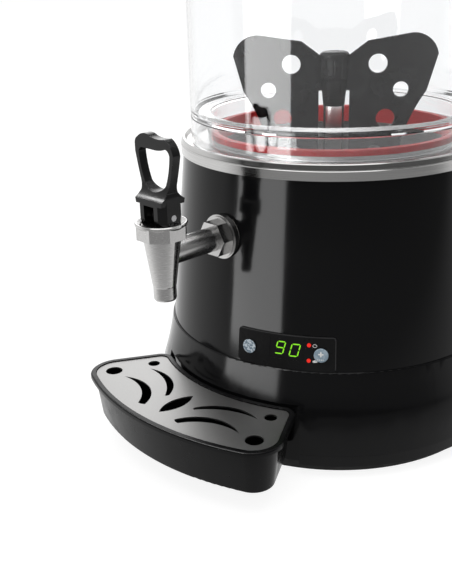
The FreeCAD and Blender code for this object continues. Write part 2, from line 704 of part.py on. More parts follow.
def make_lid():
    seat = bowl_top + gap.moving
    edge = bowl_rim + lid.overhang
    plug = bowl_radius - bowl.wall - lid.plug_gap
    crown = seat + lid.crown
    body = turned("lid", [
        (plug - lid.plug_wall, seat - lid.plug_depth),
        (plug, seat - lid.plug_depth),
        (plug, seat),
        (edge, seat),
        (edge, seat + lid.edge_height, lid.dome_radius),
        (lid.hub_radius, crown),
        (0, crown),
        (0, crown - lid.wall),
        (lid.hub_radius, crown - lid.wall, -lid.dome_radius),
        (plug - lid.plug_wall, seat + lid.edge_height - lid.wall + lid.haunch)])
    bored(body, [(0, crown - lid.wall - 1), (screw.shank_radius + gap.seat, crown - lid.wall - 1),
                 (screw.shank_radius + gap.seat, crown + 1), (0, crown + 1)])
    top = crown + knob.height
    bore = screw.shank_radius
    turned("lid_knob", [
        (bore, crown),
        (knob.foot_radius, crown),
        (knob.neck_radius, crown + knob.neck_level),
        (knob.head_radius - knob.edge, crown + knob.head_level - knob.edge / 2),
        (knob.head_radius, crown + knob.head_level + knob.edge / 2),
        (knob.head_radius, top - knob.edge, knob.edge),
        (knob.head_radius - knob.edge, top),
        (0, top),
        (0, crown + knob.neck_level),
        (bore, crown + knob.neck_level)])
    head = crown - lid.wall - screw.head_height
    turned("lid_screw", [
        (0, head),
        (screw.head_radius, head),
        (screw.head_radius, crown - lid.wall),
        (screw.shank_radius, crown - lid.wall),
        (screw.shank_radius, crown + knob.neck_level),
        (0, crown + knob.neck_level)])


# ---- centre column, shaft and stirrer ----

def make_column():
    turned("shaft_tube", [
        (column.bore, column_foot - column.flange),
        (column.flange_radius, column_foot - column.flange),
        (column.flange_radius, column_foot),
        (column.radius, column_foot),
        (column.radius, column_top),
        (column.bore, column_top)])
    tube("column_seal", column.radius, column.seal_radius, tank_floor, tank_floor + column.seal_height)
    inner = shaft.radius + gap.running
    foot_level = column_foot - column.flange
    body = tube("shaft_bushes", inner, column.bore, foot_level, foot_level + shaft.bush_length)
    upper = draw_box(new_sketch(body, "XZ_Plane"), inner, column_top - shaft.bush_length, column.bore,
                     column_top)
    spin(body, "Revolution", upper)


def make_drive_shaft():
    foot_level = motor_level + motor.plate_thickness + motor.gearbox_height - motor.coupling_depth
    round_top = shaft_top - shaft.drive_length
    body = turned("drive_shaft", [(0, foot_level), (shaft.radius, foot_level), (shaft.radius, round_top),
                                  (0, round_top)])
    half = shaft.drive_width / 2
    chamfer = shaft.drive_width / 6
    turn_to(body, stirrer.turn)
    square = draw(new_sketch(body, "XY_Plane", lift=round_top), [
        (-half + chamfer, -half), (half - chamfer, -half), (half, -half + chamfer), (half, half - chamfer),
        (half - chamfer, half), (-half + chamfer, half), (-half, half - chamfer), (-half, -half + chamfer)])
    pad(body, square, shaft.drive_length)


def make_stirrer():
    """A fluted hub on the shaft's square end, with a flat perforated wing to each side of the column."""
    body = new_body("stirrer")
    turn_to(body, stirrer.turn)
    hub_foot = column_top + gap.moving
    hub_top = column_top + stirrer.hub_rise
    head = column_top + stirrer.head_rise
    shoulder = column_top + stirrer.shoulder_rise
    hip = column_top + stirrer.hip_rise
    waist = column_top - stirrer.waist_drop
    tip = column_top - stirrer.foot_drop
    slot_top = column_top + stirrer.slot_rise
    hub = draw(new_sketch(body, "XZ_Plane"), [
        (0, hub_foot),
        (stirrer.hub_foot_radius, hub_foot),
        (stirrer.hub_radius, column_top + stirrer.flare_rise),
        (stirrer.hub_radius, hub_top - stirrer.hub_round, stirrer.hub_round),
        (stirrer.hub_radius - stirrer.hub_round, hub_top),
        (0, hub_top)])
    spin(body, "Revolution", hub)
    flute = draw_circle(new_sketch(body, "XY_Plane", lift=hub_foot - 1), stirrer.hub_radius,
                        0, stirrer.flute_radius)
    flute = cut(body, flute, hub_top - hub_foot - stirrer.head_drop, forward=True)
    around(body, [flute], stirrer.flutes)
    for side in (1, -1):
        wing = new_sketch(body, "XZ_Plane")
        draw(wing, [
            (side * (stirrer.hub_foot_radius - stirrer.hub_round), slot_top),
            (side * stirrer.slot_half_width, slot_top),
            (side * stirrer.slot_half_width, tip),
            (side * stirrer.foot_reach, tip),
            (side * stirrer.waist_reach, waist, -side * stirrer.side_radius),
            (side * stirrer.hip_reach, hip),
            (side * stirrer.shoulder_reach, shoulder, side * stirrer.shoulder_radius),
            (side * (stirrer.shoulder_reach - stirrer.head_width), head),
            (side * (stirrer.hub_radius + stirrer.bridge), head - stirrer.head_drop),
            (side * (stirrer.hub_radius - stirrer.hub_round), hub_top - stirrer.head_drop)])
        pad_both(body, wing, stirrer.plate)
    holes = new_sketch(body, "XZ_Plane")
    small, arch = stirrer.hole_radius, stirrer.arch_radius
    for side in (1, -1):
        for reach, level, radius in ((stirrer.hip_reach - 23, hip + 1, small),
                                     (stirrer.hip_reach - 36, waist + 19, arch),
                                     (stirrer.hip_reach - 44, hip + 24, arch),
                                     (stirrer.foot_reach - 20, waist - 14, arch),
                                     (stirrer.foot_reach - 20, tip + 26, arch)):
            draw_circle(holes, side * reach, level, radius)
    cut_both(body, holes, stirrer.plate * 2)
    half = shaft.drive_width / 2 + gap.seat
    top = shaft_top + gap.moving
    socket = draw_box(new_sketch(body, "XY_Plane", lift=hub_foot), -half, -half, half, half)
    cut(body, socket, top - hub_foot, forward=True)
    bored(body, [(0, hub_foot - 1), (shaft.radius + gap.moving, hub_foot - 1),
                 (shaft.radius + gap.moving, shaft_top - shaft.drive_length + gap.moving),
                 (0, shaft_top - shaft.drive_length + gap.moving)])


# ---- drive and heating under the tank ----

def make_motor():
    level = motor_level
    top = level + motor.plate_thickness
    gearbox_top = top + motor.gearbox_height
    posts = new_body("motor_posts")
    post = draw_circle(new_sketch(posts, "XY_Plane", lift=foot.height + pan.thickness), motor.post_circle, 0,
                       motor.post_radius)
    around(posts, [pad(posts, post, level - foot.height - pan.thickness)], motor.post_count)
    tube("motor_plate", motor.can_radius + gap.moving, motor.plate_radius, level, top)
    body = turned("gear_motor", [
        (0, level - motor.can_length),
        (motor.can_radius, level - motor.can_length),
        (motor.can_radius, top),
        (motor.gearbox_radius, top),
        (motor.gearbox_radius, gearbox_top),
        (motor.boss_radius, gearbox_top),
        (motor.boss_radius, gearbox_top + motor.boss_height),
        (0, gearbox_top + motor.boss_height)])
    bore = shaft.radius + gap.running
    socket = gearbox_top - motor.coupling_depth - motor.coupling_room
    high = gearbox_top + motor.boss_height + 1
    bored(body, [(0, socket), (bore, socket), (bore, high), (0, high)])
    drill(body, motor.screw_circle, motor.screw_count, top, motor.screw_depth, screw.shank_radius)
    plate = [node for node in nodes if node.Label == "motor_plate"][0]
    drill(plate, motor.screw_circle, motor.screw_count, level, motor.plate_thickness,
          screw.shank_radius + gap.seat)
    screws("motor_screws", motor.screw_circle, motor.screw_count, level - screw.head_height,
           motor.plate_thickness + motor.screw_depth - motor.screw_play)


def make_heater():
    top = column_foot
    bottom = top - heater.plate_thickness
    body = tube("heater_plate", heater.plate_inner_radius, heater.plate_radius, bottom, top)
    coil_top = bottom + heater.plate_thickness / 2
    groove = draw_box(new_sketch(body, "XZ_Plane"), heater.coil_radius - heater.tube_radius - gap.seat,
                      bottom - 1, heater.coil_radius + heater.tube_radius + gap.seat, coil_top)
    spin(body, "Groove", groove)
    tube("heating_element", heater.coil_radius - heater.tube_radius, heater.coil_radius + heater.tube_radius,
         coil_top - heater.tube_radius * 2, coil_top)
    sensor = new_body("thermostat")
    cap = draw_circle(new_sketch(sensor, "XY_Plane", lift=bottom), heater.thermostat_reach, 0,
                      heater.thermostat_radius)
    pad(sensor, cap, heater.thermostat_height, back=True)
    sleeve = tube("insulation_jacket", tank_outer + gap.moving, tank_outer + jacket.thickness,
                  tank_floor + jacket.foot_gap, tank_top - jacket.head_gap)
    hole = draw_circle(new_sketch(sleeve, "XZ_Plane", lift=tank_inner / 2), 0, shank_level,
                       jacket.tap_hole)
    cut(sleeve, hole, tank_inner, forward=True)


# ---- tap: every piece is placed on the tap's own upright axis ----

def on_tap(body):
    return move_to(body, y=-tap.reach)


def make_tap_body():
    spout_foot = shank_level - tap.spout_drop
    cone_foot = shank_level - tap.cone_drop
    body = on_tap(turned("tap_body", [
        (0, spout_foot),
        (tap.spout_radius - tap.spout_lip / 2, spout_foot),
        (tap.spout_radius, spout_foot + tap.spout_lip),
        (tap.spout_radius, cone_foot - tap.cone_step),
        (tap.cone_foot_radius, cone_foot),
        (tap.cone_top_radius, bonnet_foot),
        (tap.cone_top_radius, neck_top),
        (0, neck_top)]))
    shank = draw_circle(new_sketch(body, "XZ_Plane"), 0, shank_level, tap.shank_radius)
    pad(body, shank, tap.reach - (tank_inner - tap.shank_sink), back=True)
    bored(body, [
        (0, spout_foot - 1),
        (tap.spout_bore, spout_foot - 1),
        (tap.spout_bore, seat_level),
        (tap.chamber_radius, seat_level + tap.seat_height),
        (tap.chamber_radius, neck_top + 1),
        (0, neck_top + 1)])
    passage = draw_circle(new_sketch(body, "XZ_Plane"), 0, shank_level, tap.shank_bore)
    cut(body, passage, tap.reach)
    return body


def make_bonnet():
    body = on_tap(new_body("bonnet_nut"))
    facet = bonnet.facet_radius
    rim_level = shank_level + bonnet.rim_rise
    half_side = 360.0 / bonnet.facets.value / 2
    corners = []
    for number in range(int(bonnet.facets.value)):
        angle = math.radians(half_side * (2 * number + 1))
        corners.append((facet * round(math.cos(angle), 6), facet * round(math.sin(angle), 6)))
    octagon = draw(new_sketch(body, "XY_Plane", lift=bonnet_foot), corners)
    pad(body, octagon, rim_level - bonnet_foot)
    cap_top = cap_level + bonnet.cap_thickness
    rim_top = rim_level + bonnet.rim_height
    rim = draw(new_sketch(body, "XZ_Plane"), [
        (0, rim_level - bonnet.rim_bevel),
        (bonnet.rim_radius - bonnet.rim_bevel, rim_level - bonnet.rim_bevel),
        (bonnet.rim_radius, rim_level),
        (bonnet.rim_radius, rim_top - bonnet.rim_edge),
        (bonnet.rim_radius - bonnet.rim_edge, rim_top),
        (0, rim_top)])
    spin(body, "Revolution", rim)
    bored(body, [(0, cap_top), (bonnet.collar_radius + bonnet.rim_edge, cap_top),
                 (bonnet.dish_radius, rim_top), (bonnet.dish_radius, rim_top + 1),
                 (0, rim_top + 1)])
    bored(body, [(0, bonnet_foot - 1), (tap.cone_top_radius + gap.running, bonnet_foot - 1),
                 (tap.cone_top_radius + gap.running, cap_level), (0, cap_level)])
    hole = stem.neck_radius + gap.running
    bored(body, [(0, cap_level - 1), (hole, cap_level - 1), (hole, cap_top + 1), (0, cap_top + 1)])
    on_tap(tube("tap_collar", stem.neck_radius + gap.moving, bonnet.collar_radius, cap_top,
                cap_top + bonnet.collar_thickness))


def make_stem():
    """The valve stem: a rod through the silicone cup, a shoulder under the spring and an eye for the pin."""
    cup_foot = seat_level - stem.plug_depth
    cup_top = seat_level + stem.cup_height
    body = on_tap(turned("tap_stem", [
        (0, cup_foot + stem.rod_sink),
        (stem.rod_radius, cup_foot + stem.rod_sink),
        (stem.rod_radius, shoulder_level - stem.shoulder_thickness),
        (stem.shoulder_radius, shoulder_level - stem.shoulder_thickness),
        (stem.shoulder_radius, shoulder_level),
        (stem.neck_radius, shoulder_level),
        (stem.neck_radius, pin_level),
        (0, pin_level)]))
    eye = draw_circle(new_sketch(body, "YZ_Plane"), 0, pin_level, stem.eye_radius)
    pad_both(body, eye, stem.eye_width)
    bore = draw_circle(new_sketch(body, "YZ_Plane"), 0, pin_level, lever.pin_radius + gap.running)
    cut_both(body, bore, stem.eye_width * 2)
    skin = tap.chamber_radius - gap.moving
    on_tap(turned("seat_cup", [
        (stem.rod_radius, cup_foot),
        (tap.spout_bore - gap.moving * 2, cup_foot),
        (tap.spout_bore - gap.moving * 2, seat_level + gap.moving),
        (skin - gap.moving, seat_level + tap.seat_height + gap.moving),
        (skin - gap.moving, cup_top - stem.cup_edge),
        (stem.rod_radius + stem.cup_edge, cup_top),
        (stem.rod_radius, cup_top)]))
    low, high = shoulder_level, cap_level
    pitch = (high - low) / stem.spring_coils
    mean = stem.spring_radius - stem.spring_wire
    corners = []
    for number in range(int(stem.spring_coils.value)):
        corners.append((stem.spring_radius - stem.spring_groove, low + pitch * number))
        corners.append((stem.spring_radius, low + pitch * number + pitch / 2))
    corners.append((stem.spring_radius - stem.spring_groove, high))
    corners.append((mean - stem.spring_wire, high))
    corners.append((mean - stem.spring_wire, low))
    on_tap(turned("tap_spring", corners))


def make_handle():
    """A two-armed loop over a block that straddles the stem's eye; the block's foot is the lifting cam. The
    arms spread from their own thickness to the block's depth through a hollow curve, front and back."""
    body = on_tap(new_body("tap_handle"))
    half_width, half_depth = lever.block_width / 2, lever.block_depth / 2
    chamfer = lever.block_chamfer
    foot_level = pin_level - lever.cam_radius
    block_top = pin_level + lever.block_rise
    outline = draw(new_sketch(body, "XZ_Plane"), [
        (-loop.waist_half_width, block_top - lever.root_depth),
        (loop.waist_half_width, block_top - lever.root_depth),
        (half_width, block_top, loop.waist_radius),
        (loop.waist_half_width, pin_level + loop.waist_rise, loop.side_radius),
        (loop.half_width, pin_level + loop.rise, loop.brow_radius),
        (loop.brow_side, pin_level + loop.brow_rise, -loop.dip_radius),
        (-loop.dip_side, pin_level + loop.dip_rise, loop.crown_radius),
        (-loop.crown_side, pin_level + loop.crown_rise, loop.corner_radius),
        (-loop.half_width, pin_level + loop.corner_rise),
        (-loop.half_width, pin_level + loop.rise, loop.side_radius),
        (-loop.waist_half_width, pin_level + loop.waist_rise, loop.waist_radius),
        (-half_width, block_top)])
    pad_both(body, outline, lever.block_depth)
    top = pin_level + loop.rise + lever.block_depth
    for side in (1, -1):
        flank = draw(new_sketch(body, "YZ_Plane"), [
            (side * (half_depth + 1), block_top),
            (side * half_depth, block_top, -side * lever.flare_radius),
            (side * (lever.thickness / 2), pin_level + lever.flare_rise),
            (side * (lever.thickness / 2), top),
            (side * (half_depth + 1), top)])
        cut_both(body, flank, lever.block_width * 2)
    block = draw(new_sketch(body, "XY_Plane", lift=foot_level), [
        (-half_width + chamfer, -half_depth), (half_width - chamfer, -half_depth),
        (half_width, -half_depth + chamfer), (half_width, half_depth - chamfer),
        (half_width - chamfer, half_depth), (-half_width + chamfer, half_depth),
        (-half_width, half_depth - chamfer), (-half_width, -half_depth + chamfer)])
    pad(body, block, block_top - foot_level)
    hole = draw(new_sketch(body, "XZ_Plane"), [
        (0, pin_level + grip.bottom_rise, grip.foot_radius),
        (grip.foot_side, pin_level + grip.foot_rise, grip.side_radius),
        (grip.half_width, pin_level + grip.rise, grip.corner_radius),
        (grip.brow_side, pin_level + grip.brow_rise, -grip.dip_radius),
        (0, pin_level + grip.dip_rise),
        (-grip.peak_side, pin_level + grip.peak_rise, grip.peak_radius),
        (-grip.half_width, pin_level + grip.rise, grip.side_radius),
        (-grip.foot_side, pin_level + grip.foot_rise, grip.foot_radius)])
    cut_both(body, hole, lever.block_depth * 2)
    half_slot = lever.slot_width / 2
    slot = draw_box(new_sketch(body, "XZ_Plane", lift=-lever.slot_back), -half_slot, foot_level - 1,
                    half_slot, pin_level + lever.slot_rise)
    cut(body, slot, lever.block_depth, forward=True)
    pin_hole = draw_circle(new_sketch(body, "YZ_Plane"), 0, pin_level, lever.pin_radius)
    cut_both(body, pin_hole, lever.block_width * 2)
    front = -half_depth - 2
    lead = half_depth - lever.cam_lead
    meet = root(lever.cam_radius * lever.cam_radius - lead * lead)
    toe = draw(new_sketch(body, "YZ_Plane"), [
        (-half_depth, pin_level - meet, lever.cam_radius),
        (-lever.cam_lead, foot_level),
        (-lever.cam_lead, foot_level - 2),
        (front, foot_level - 2),
        (front, pin_level - meet)])
    cut_both(body, toe, lever.block_width * 2)
    pin = on_tap(new_body("tap_pin"))
    rod = draw_circle(new_sketch(pin, "YZ_Plane"), 0, pin_level, lever.pin_radius)
    pad_both(pin, rod, lever.block_width)


def disc_on_shank(label, face, radius, thickness, bore):
    """A washer round the tap's shank, from a face towards the front."""
    body = new_body(label)
    sketch = new_sketch(body, "XZ_Plane", lift=face)
    draw_circle(sketch, 0, shank_level, radius)
    draw_circle(sketch, 0, shank_level, bore)
    pad(body, sketch, thickness)
    return body


def hexagon_on_shank(label, face, thickness, bore):
    body = new_body(label)
    sketch = new_sketch(body, "XZ_Plane", lift=face)
    half = nut.flats / 2
    reach = nut.flats / math.sqrt(3.0)
    level = shank_level
    draw(sketch, [(reach, level), (reach / 2, level + half), (-reach / 2, level + half), (-reach, level),
                  (-reach / 2, level - half), (reach / 2, level - half)])
    draw_circle(sketch, 0, level, bore)
    pad(body, sketch, thickness)
    return body


def follow_casing(body, low, high, proud):
    """Clears a body from inside the casing's taper, up to a little outside the casing's surface."""
    bored(body, [(0, low), (casing_radius(low) + proud, low), (casing_radius(high) + proud, high), (0, high)])


def make_tap_fixing():
    bore = tap.shank_radius + gap.running
    surface = casing_radius(shank_level)
    ring_face = surface + nut.seal_thickness + nut.washer_thickness
    back = surface - nut.washer_radius / 2
    low, high = shank_level - nut.washer_radius - 2, shank_level + nut.washer_radius + 2
    seal = disc_on_shank("shank_seal", back, nut.seal_radius, ring_face - back, bore)
    follow_casing(seal, low, high, 0)
    far = beyond_casing
    bored(seal, [(casing_radius(low) + nut.seal_thickness, low), (far, low), (far, high),
                 (casing_radius(high) + nut.seal_thickness, high)])
    washer = disc_on_shank("tap_washer", back, nut.washer_radius, ring_face - back, bore)
    follow_casing(washer, low, high, nut.seal_thickness)
    disc_on_shank("tap_flange", ring_face, nut.ring_radius, nut.ring_thickness, bore)
    nut_face = ring_face + nut.ring_thickness
    body = hexagon_on_shank("tap_hex_nut", nut_face, nut.thickness, bore)
    corner_cut = draw(new_sketch(body, "YZ_Plane"), [
        (-nut_face - nut.thickness - 1, shank_level + nut.flats / 2),
        (-nut_face - nut.thickness - 1, shank_level + nut.corner_reach),
        (-nut_face - nut.thickness + nut.chamfer, shank_level + nut.corner_reach)])
    chamfer = feature(body, "Groove", corner_cut, Angle=360.0)
    axis_line = corner_cut.addGeometry(Part.LineSegment(Vector(-10, shank_level.value, 0),
                                                        Vector(-30, shank_level.value, 0)), True)
    corner_cut.addConstraint(Sketcher.Constraint("Horizontal", axis_line))
    hold(corner_cut, "DistanceY", (axis_line, 1), shank_level)
    chamfer.ReferenceAxis = (corner_cut, ["Axis0"])
    seal_end = tank_inner
    inner_face = tank_inner - nut.tank_seal * 2
    inner_seal = disc_on_shank("tank_seal", inner_face, nut.flats / 2, nut.tank_seal * 2, bore)
    span_low, span_high = shank_level - 20, shank_level + 20
    bored(inner_seal, [(seal_end, span_low), (seal_end + 10, span_low), (seal_end + 10, span_high),
                       (seal_end, span_high)])
    hexagon_on_shank("tank_locknut", inner_face - nut.locknut_thickness, nut.locknut_thickness, bore)


# ---- control panel ----

def panel_levels():
    low = base.top + panel.rise
    return low, low + panel.height


def radial_cut(body, angle, level, radius, depth):
    """Drills a round hole straight out from the axis at an angle from the front."""
    sketch = draw_circle(new_sketch(body, "XZ_Plane", turn=angle), 0, level, radius)
    return cut(body, sketch, depth, forward=True)


def radial_rod(body, angle, level, radius, depth):
    """A round rod that points straight out from the axis; the casing's taper trims it later."""
    sketch = draw_circle(new_sketch(body, "XZ_Plane", turn=angle), 0, level, radius)
    return pad(body, sketch, depth)


def make_panel():
    low, high = panel_levels()
    middle = (panel.start + panel.finish) / 2
    face = panel.thickness
    body = new_body("panel_bezel")
    skin = draw(new_sketch(body, "XZ_Plane", turn=middle - 90), [
        (casing_radius(low), low), (casing_radius(low) + face, low),
        (casing_radius(high) + face, high), (casing_radius(high), high)])
    spin(body, "Revolution", skin, panel.finish - panel.start)
    for angle, side in ((panel.start, 1), (panel.finish, -1)):
        for level, rise in ((low, 1), (high, -1)):
            corner = draw(new_sketch(body, "XZ_Plane", turn=angle), [
                (-side * gap.moving, level - rise * gap.moving),
                (side * panel.corner, level - rise * gap.moving),
                (side * panel.corner, level, -side * rise * panel.corner),
                (sized(0.0), level + rise * panel.corner),
                (-side * gap.moving, level + rise * panel.corner)])
            cut(body, corner, beyond_casing, forward=True)
    for angle in (button.set_angle, button.plus_angle):
        radial_cut(body, angle, base.top + button.rise, button.radius + gap.moving, beyond_casing)
    for rise in (lamp.upper_rise, lamp.lower_rise):
        radial_cut(body, lamp.angle, base.top + rise, lamp.radius + gap.seat, beyond_casing)
    centre = (display.start + display.finish) / 2
    sill = base.top + display.rise
    window = draw_box(new_sketch(body, "XZ_Plane", turn=centre - 90), casing_foot / 2, sill, beyond_casing,
                      sill + display.height)
    spin(body, "Groove", window, display.finish - display.start)
    glass = new_body("display_window")
    low, high = sill + gap.seat, sill + display.height - gap.seat
    pane = draw(new_sketch(glass, "XZ_Plane", turn=centre - 90), [
        (casing_radius(low) - casing.wall, low), (casing_radius(low) + face - display.sink, low),
        (casing_radius(high) + face - display.sink, high), (casing_radius(high) - casing.wall, high)])
    spin(glass, "Revolution", pane, display.finish - display.start - gap.seat)


def make_controls():
    reach = casing_foot + button.depth * 2
    for label, angle in (("set_button", button.set_angle), ("plus_button", button.plus_angle)):
        body = new_body(label)
        radial_rod(body, angle, base.top + button.rise, button.radius, reach)
        trim_to_casing(body, panel.thickness + button.proud)
        follow_casing(body, below_seam, halfway, -button.depth)
    lamps = new_body("indicator_lamps")
    for rise in (lamp.upper_rise, lamp.lower_rise):
        radial_rod(lamps, lamp.angle, base.top + rise, lamp.radius, reach)
    trim_to_casing(lamps, lamp.proud)
    follow_casing(lamps, below_seam, halfway, -lamp.depth)
    circuit = new_body("control_board")
    distance = casing_foot - board.inset
    middle = (panel.start + panel.finish) / 2
    sketch = new_sketch(circuit, "XZ_Plane", turn=middle)
    half = board.width / 2
    foot_level = base.top + casing.flange
    draw_box(sketch, -half, foot_level, half, foot_level + board.height)
    pad(circuit, sketch, distance + board.thickness)
    hollow = new_sketch(circuit, "XZ_Plane", turn=middle)
    draw_box(hollow, -half - 1, foot_level - 1, half + 1, foot_level + board.height + 1)
    cut(circuit, hollow, distance, forward=True)


# ---- back: inlet and switch ----

def housing(label, item, turn):
    """A boxed housing that passes through the casing and ends in a flat face."""
    body = turn_to(new_body(label), turn)
    sketch = new_sketch(body, "XZ_Plane", lift=(casing_foot + item.proud) - item.depth)
    half = item.width / 2
    draw_box(sketch, -half, (base.top + item.rise), half, (base.top + item.rise) + item.height)
    pad(body, sketch, item.depth)
    return body


def make_inlet():
    turn = sized(180.0)
    body = housing("power_inlet", inlet, turn)
    middle = base.top + inlet.rise + inlet.height / 2
    floor = casing_foot + inlet.proud - inlet.socket_depth
    half, half_height = inlet.socket_width / 2, inlet.socket_height / 2
    cavity = draw(new_sketch(body, "XZ_Plane", lift=floor), [
        (-half, middle - half_height), (half, middle - half_height),
        (half, middle + half_height - inlet.socket_bevel), (half - inlet.socket_bevel, middle + half_height),
        (inlet.socket_bevel - half, middle + half_height),
        (-half, middle + half_height - inlet.socket_bevel)])
    cut(body, cavity, inlet.socket_depth, forward=True)
    pins = turn_to(new_body("inlet_pins"), turn)
    sketch = new_sketch(pins, "XZ_Plane", lift=floor)
    half_pin = inlet.pin_height / 2
    for place, level in ((-inlet.pin_pitch, middle - inlet.pin_drop), (sized(0.0), middle + inlet.earth_rise),
                         (inlet.pin_pitch, middle - inlet.pin_drop)):
        draw_box(sketch, place - inlet.pin_width / 2, level - half_pin,
                 place + inlet.pin_width / 2, level + half_pin)
    pad(pins, sketch, inlet.pin_length)


def make_switch():
    turn = switch.angle + 180
    frame = housing("switch_frame", switch, turn)
    half = switch.width / 2 - switch.rim
    middle = base.top + switch.rise + switch.height / 2
    half_height = switch.height / 2 - switch.rim
    well = new_sketch(frame, "XZ_Plane", lift=casing_foot + switch.proud - switch.depth + switch.rim)
    draw_box(well, -half, middle - half_height, half, middle + half_height)
    cut(frame, well, switch.depth, forward=True)
    axle = -(casing_foot + switch.proud - switch.axle_depth)
    hole = draw_circle(new_sketch(frame, "YZ_Plane"), axle, middle, switch.axle_radius + gap.running)
    cut_both(frame, hole, switch.width - switch.rim)
    rocker = turn_to(new_body("rocker_switch"), turn)
    reach = half_height - switch.swing_gap
    lean = sine(switch.tilt) * reach
    back = axle - switch.rocker_back
    front = back - switch.rocker_end
    section = draw(new_sketch(rocker, "YZ_Plane"), [
        (axle + switch.rocker_depth / 2, middle),
        (back, middle - reach),
        (front, middle - reach),
        (front - switch.crest, middle),
        (front - lean * 2, middle + reach),
        (back - lean, middle + reach)])
    pad_both(rocker, section, (half - switch.rocker_gap) * 2)
    pivot = draw_circle(new_sketch(rocker, "YZ_Plane"), axle, middle, switch.axle_radius)
    pad_both(rocker, pivot, half * 2 + switch.rim / 2)


# ---- drip tray and grid ----

def tray_outline(body, level, inset):
    """The tray's outline at a level, moved in by an inset on every side: a ring sector about the casing's
    axis, evenly to both sides of the front, with rounded corners. A corner's centre lies one corner radius in
    from the arc and from the straight side."""
    outer_corner, inner_corner = tray.outer_corner - inset, tray.inner_corner - inset
    outer, inner = tray_outer - inset, tray_inner + inset
    outer_middle, inner_middle = outer - outer_corner, inner + inner_corner
    outer_turn = tray_angle - arc_sine(tray.outer_corner / outer_middle)
    inner_turn = tray_angle - arc_sine(tray.inner_corner / inner_middle)
    outer_side = root(outer_middle * outer_middle - tray.outer_corner * tray.outer_corner)
    inner_side = root(inner_middle * inner_middle - tray.inner_corner * tray.inner_corner)
    corners = [
        polar(outer, outer_turn) + [outer_corner],
        beside(outer_side, inset),
        beside(inner_side, inset) + [inner_corner],
        polar(inner, inner_turn) + [-inner],
        opposite(polar(inner, inner_turn)) + [inner_corner],
        opposite(beside(inner_side, inset)),
        opposite(beside(outer_side, inset)) + [outer_corner],
        opposite(polar(outer, outer_turn)) + [outer]]
    return draw(new_sketch(body, "XY_Plane", lift=level), corners)


def polar(radius, angle):
    """A point at a radius from the casing's axis and an angle from the front."""
    return [radius * sine(angle), -(radius * cosine(angle))]


def beside(reach, inset):
    """A point on the tray's straight side, at a reach along it."""
    angle = tray_angle
    return [reach * sine(angle) - inset * cosine(angle), -(reach * cosine(angle)) - inset * sine(angle)]


def opposite(point):
    """The same point on the left of the front-to-back plane."""
    return [-point[0], point[1]]


def lofted(body, kind, first, second):
    """Joins two outlines with straight walls."""
    return feature(body, kind, first, Sections=[second], Ruled=True)


def make_tray():
    """A drafted pan under an overhanging rim with a rebate for the grid, held by two tongues in the nest."""
    body = new_body("drip_tray")
    rim_level = tray_top - tray.rim_height
    foot_inset = tray.rim_overhang + tray.draft
    lofted(body, "AdditiveLoft", tray_outline(body, tray_bottom, foot_inset),
           tray_outline(body, rim_level, tray.rim_overhang))
    pad(body, tray_outline(body, rim_level, sized(0.0)), tray.rim_height)
    round_edges(body, tray.foot_round, lambda edge: level_of(edge, tray_bottom.value))
    round_edges(body, tray.edge_round, lambda edge: level_of(edge, tray_top.value))
    half = tray.tongue_width / 2
    low, high = tongue_level, tongue_level + tray.tongue_thickness
    tongues = new_sketch(body, "XZ_Plane", lift=nest_radius - tray.tongue_length)
    draw_box(tongues, tray.tongue_place - half, low, tray.tongue_place + half, high)
    draw_box(tongues, -tray.tongue_place - half, low, -tray.tongue_place + half, high)
    root_reach = tray_inner + tray.rim_overhang + tray.wall / 2
    pad(body, tongues, root_reach - nest_radius + tray.tongue_length)
    floor = tray_bottom + tray.wall
    lofted(body, "SubtractiveLoft", tray_outline(body, floor, foot_inset + tray.wall),
           tray_outline(body, tray_top + 1, tray.rim_width + tray.ledge))
    rebate = tray_outline(body, tray_top - tray.rebate, tray.rim_width - grid.gap)
    cut(body, rebate, tray.rebate + 1, forward=True)


def make_grid():
    body = new_body("drip_grid")
    low = tray_top - tray.rebate
    pad(body, tray_outline(body, low, tray.rim_width), grid.thickness)
    holes = new_sketch(body, "XY_Plane", lift=low)
    for side in (1, -1):
        draw_circle(holes, side * grid.big_hole_side, -(tray_inner + grid.big_hole_reach),
                    grid.big_hole_radius)
        draw_circle(holes, side * grid.small_hole_side, -(tray_inner + grid.small_hole_reach),
                    grid.small_hole_radius)
        for slot in (front_slot, back_slot):
            draw(holes, [
                (side * slot.heel_side, -(tray_inner + slot.heel_reach), side * slot.heel_radius),
                (side * slot.toe_side, -(tray_inner + slot.toe_reach), -side * slot.hollow_radius),
                (side * slot.tip_side, -(tray_inner + slot.tip_reach), side * slot.crown_radius)])
    middle = tray_inner + (grid.lens_front + grid.lens_back) / 2
    half = (grid.lens_front - grid.lens_back) / 2
    radius = (half * half + grid.lens_half_width * grid.lens_half_width) / (grid.lens_half_width * 2)
    draw(holes, [(0, -(middle + half), radius), (0, -(middle - half), radius)])
    cut(body, holes, tray.rebate * 2, forward=True)


def check_and_write():
    """Stops on any failed object or bad shape, then writes one file for each piece."""
    document.recompute()
    for item in document.Objects:
        if "Invalid" in item.State or "Error" in item.State:
            raise RuntimeError("failed object: " + item.Label)
    os.makedirs("parts", exist_ok=True)
    for node in nodes:
        if node.Shape.isNull() or not node.Shape.isValid():
            raise RuntimeError("bad shape: " + node.Label)
    for node in nodes:
        node.Shape.exportStep(os.path.join("parts", node.Label + ".step"))


make_foot_ring()
make_base_pan()
make_base_ring()
make_casing()
make_trim_ring()
make_inner_tank()
make_bowl_gasket()
make_bowl()
make_lid()
make_column()
make_drive_shaft()
make_stirrer()
make_motor()
make_heater()
make_tap_body()
make_bonnet()
make_stem()
make_handle()
make_tap_fixing()
make_panel()
make_controls()
make_inlet()
make_switch()
make_tray()
make_grid()
check_and_write()
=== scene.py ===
import math

import bmesh
import bpy
import numpy as np
from mathutils import Matrix, Vector


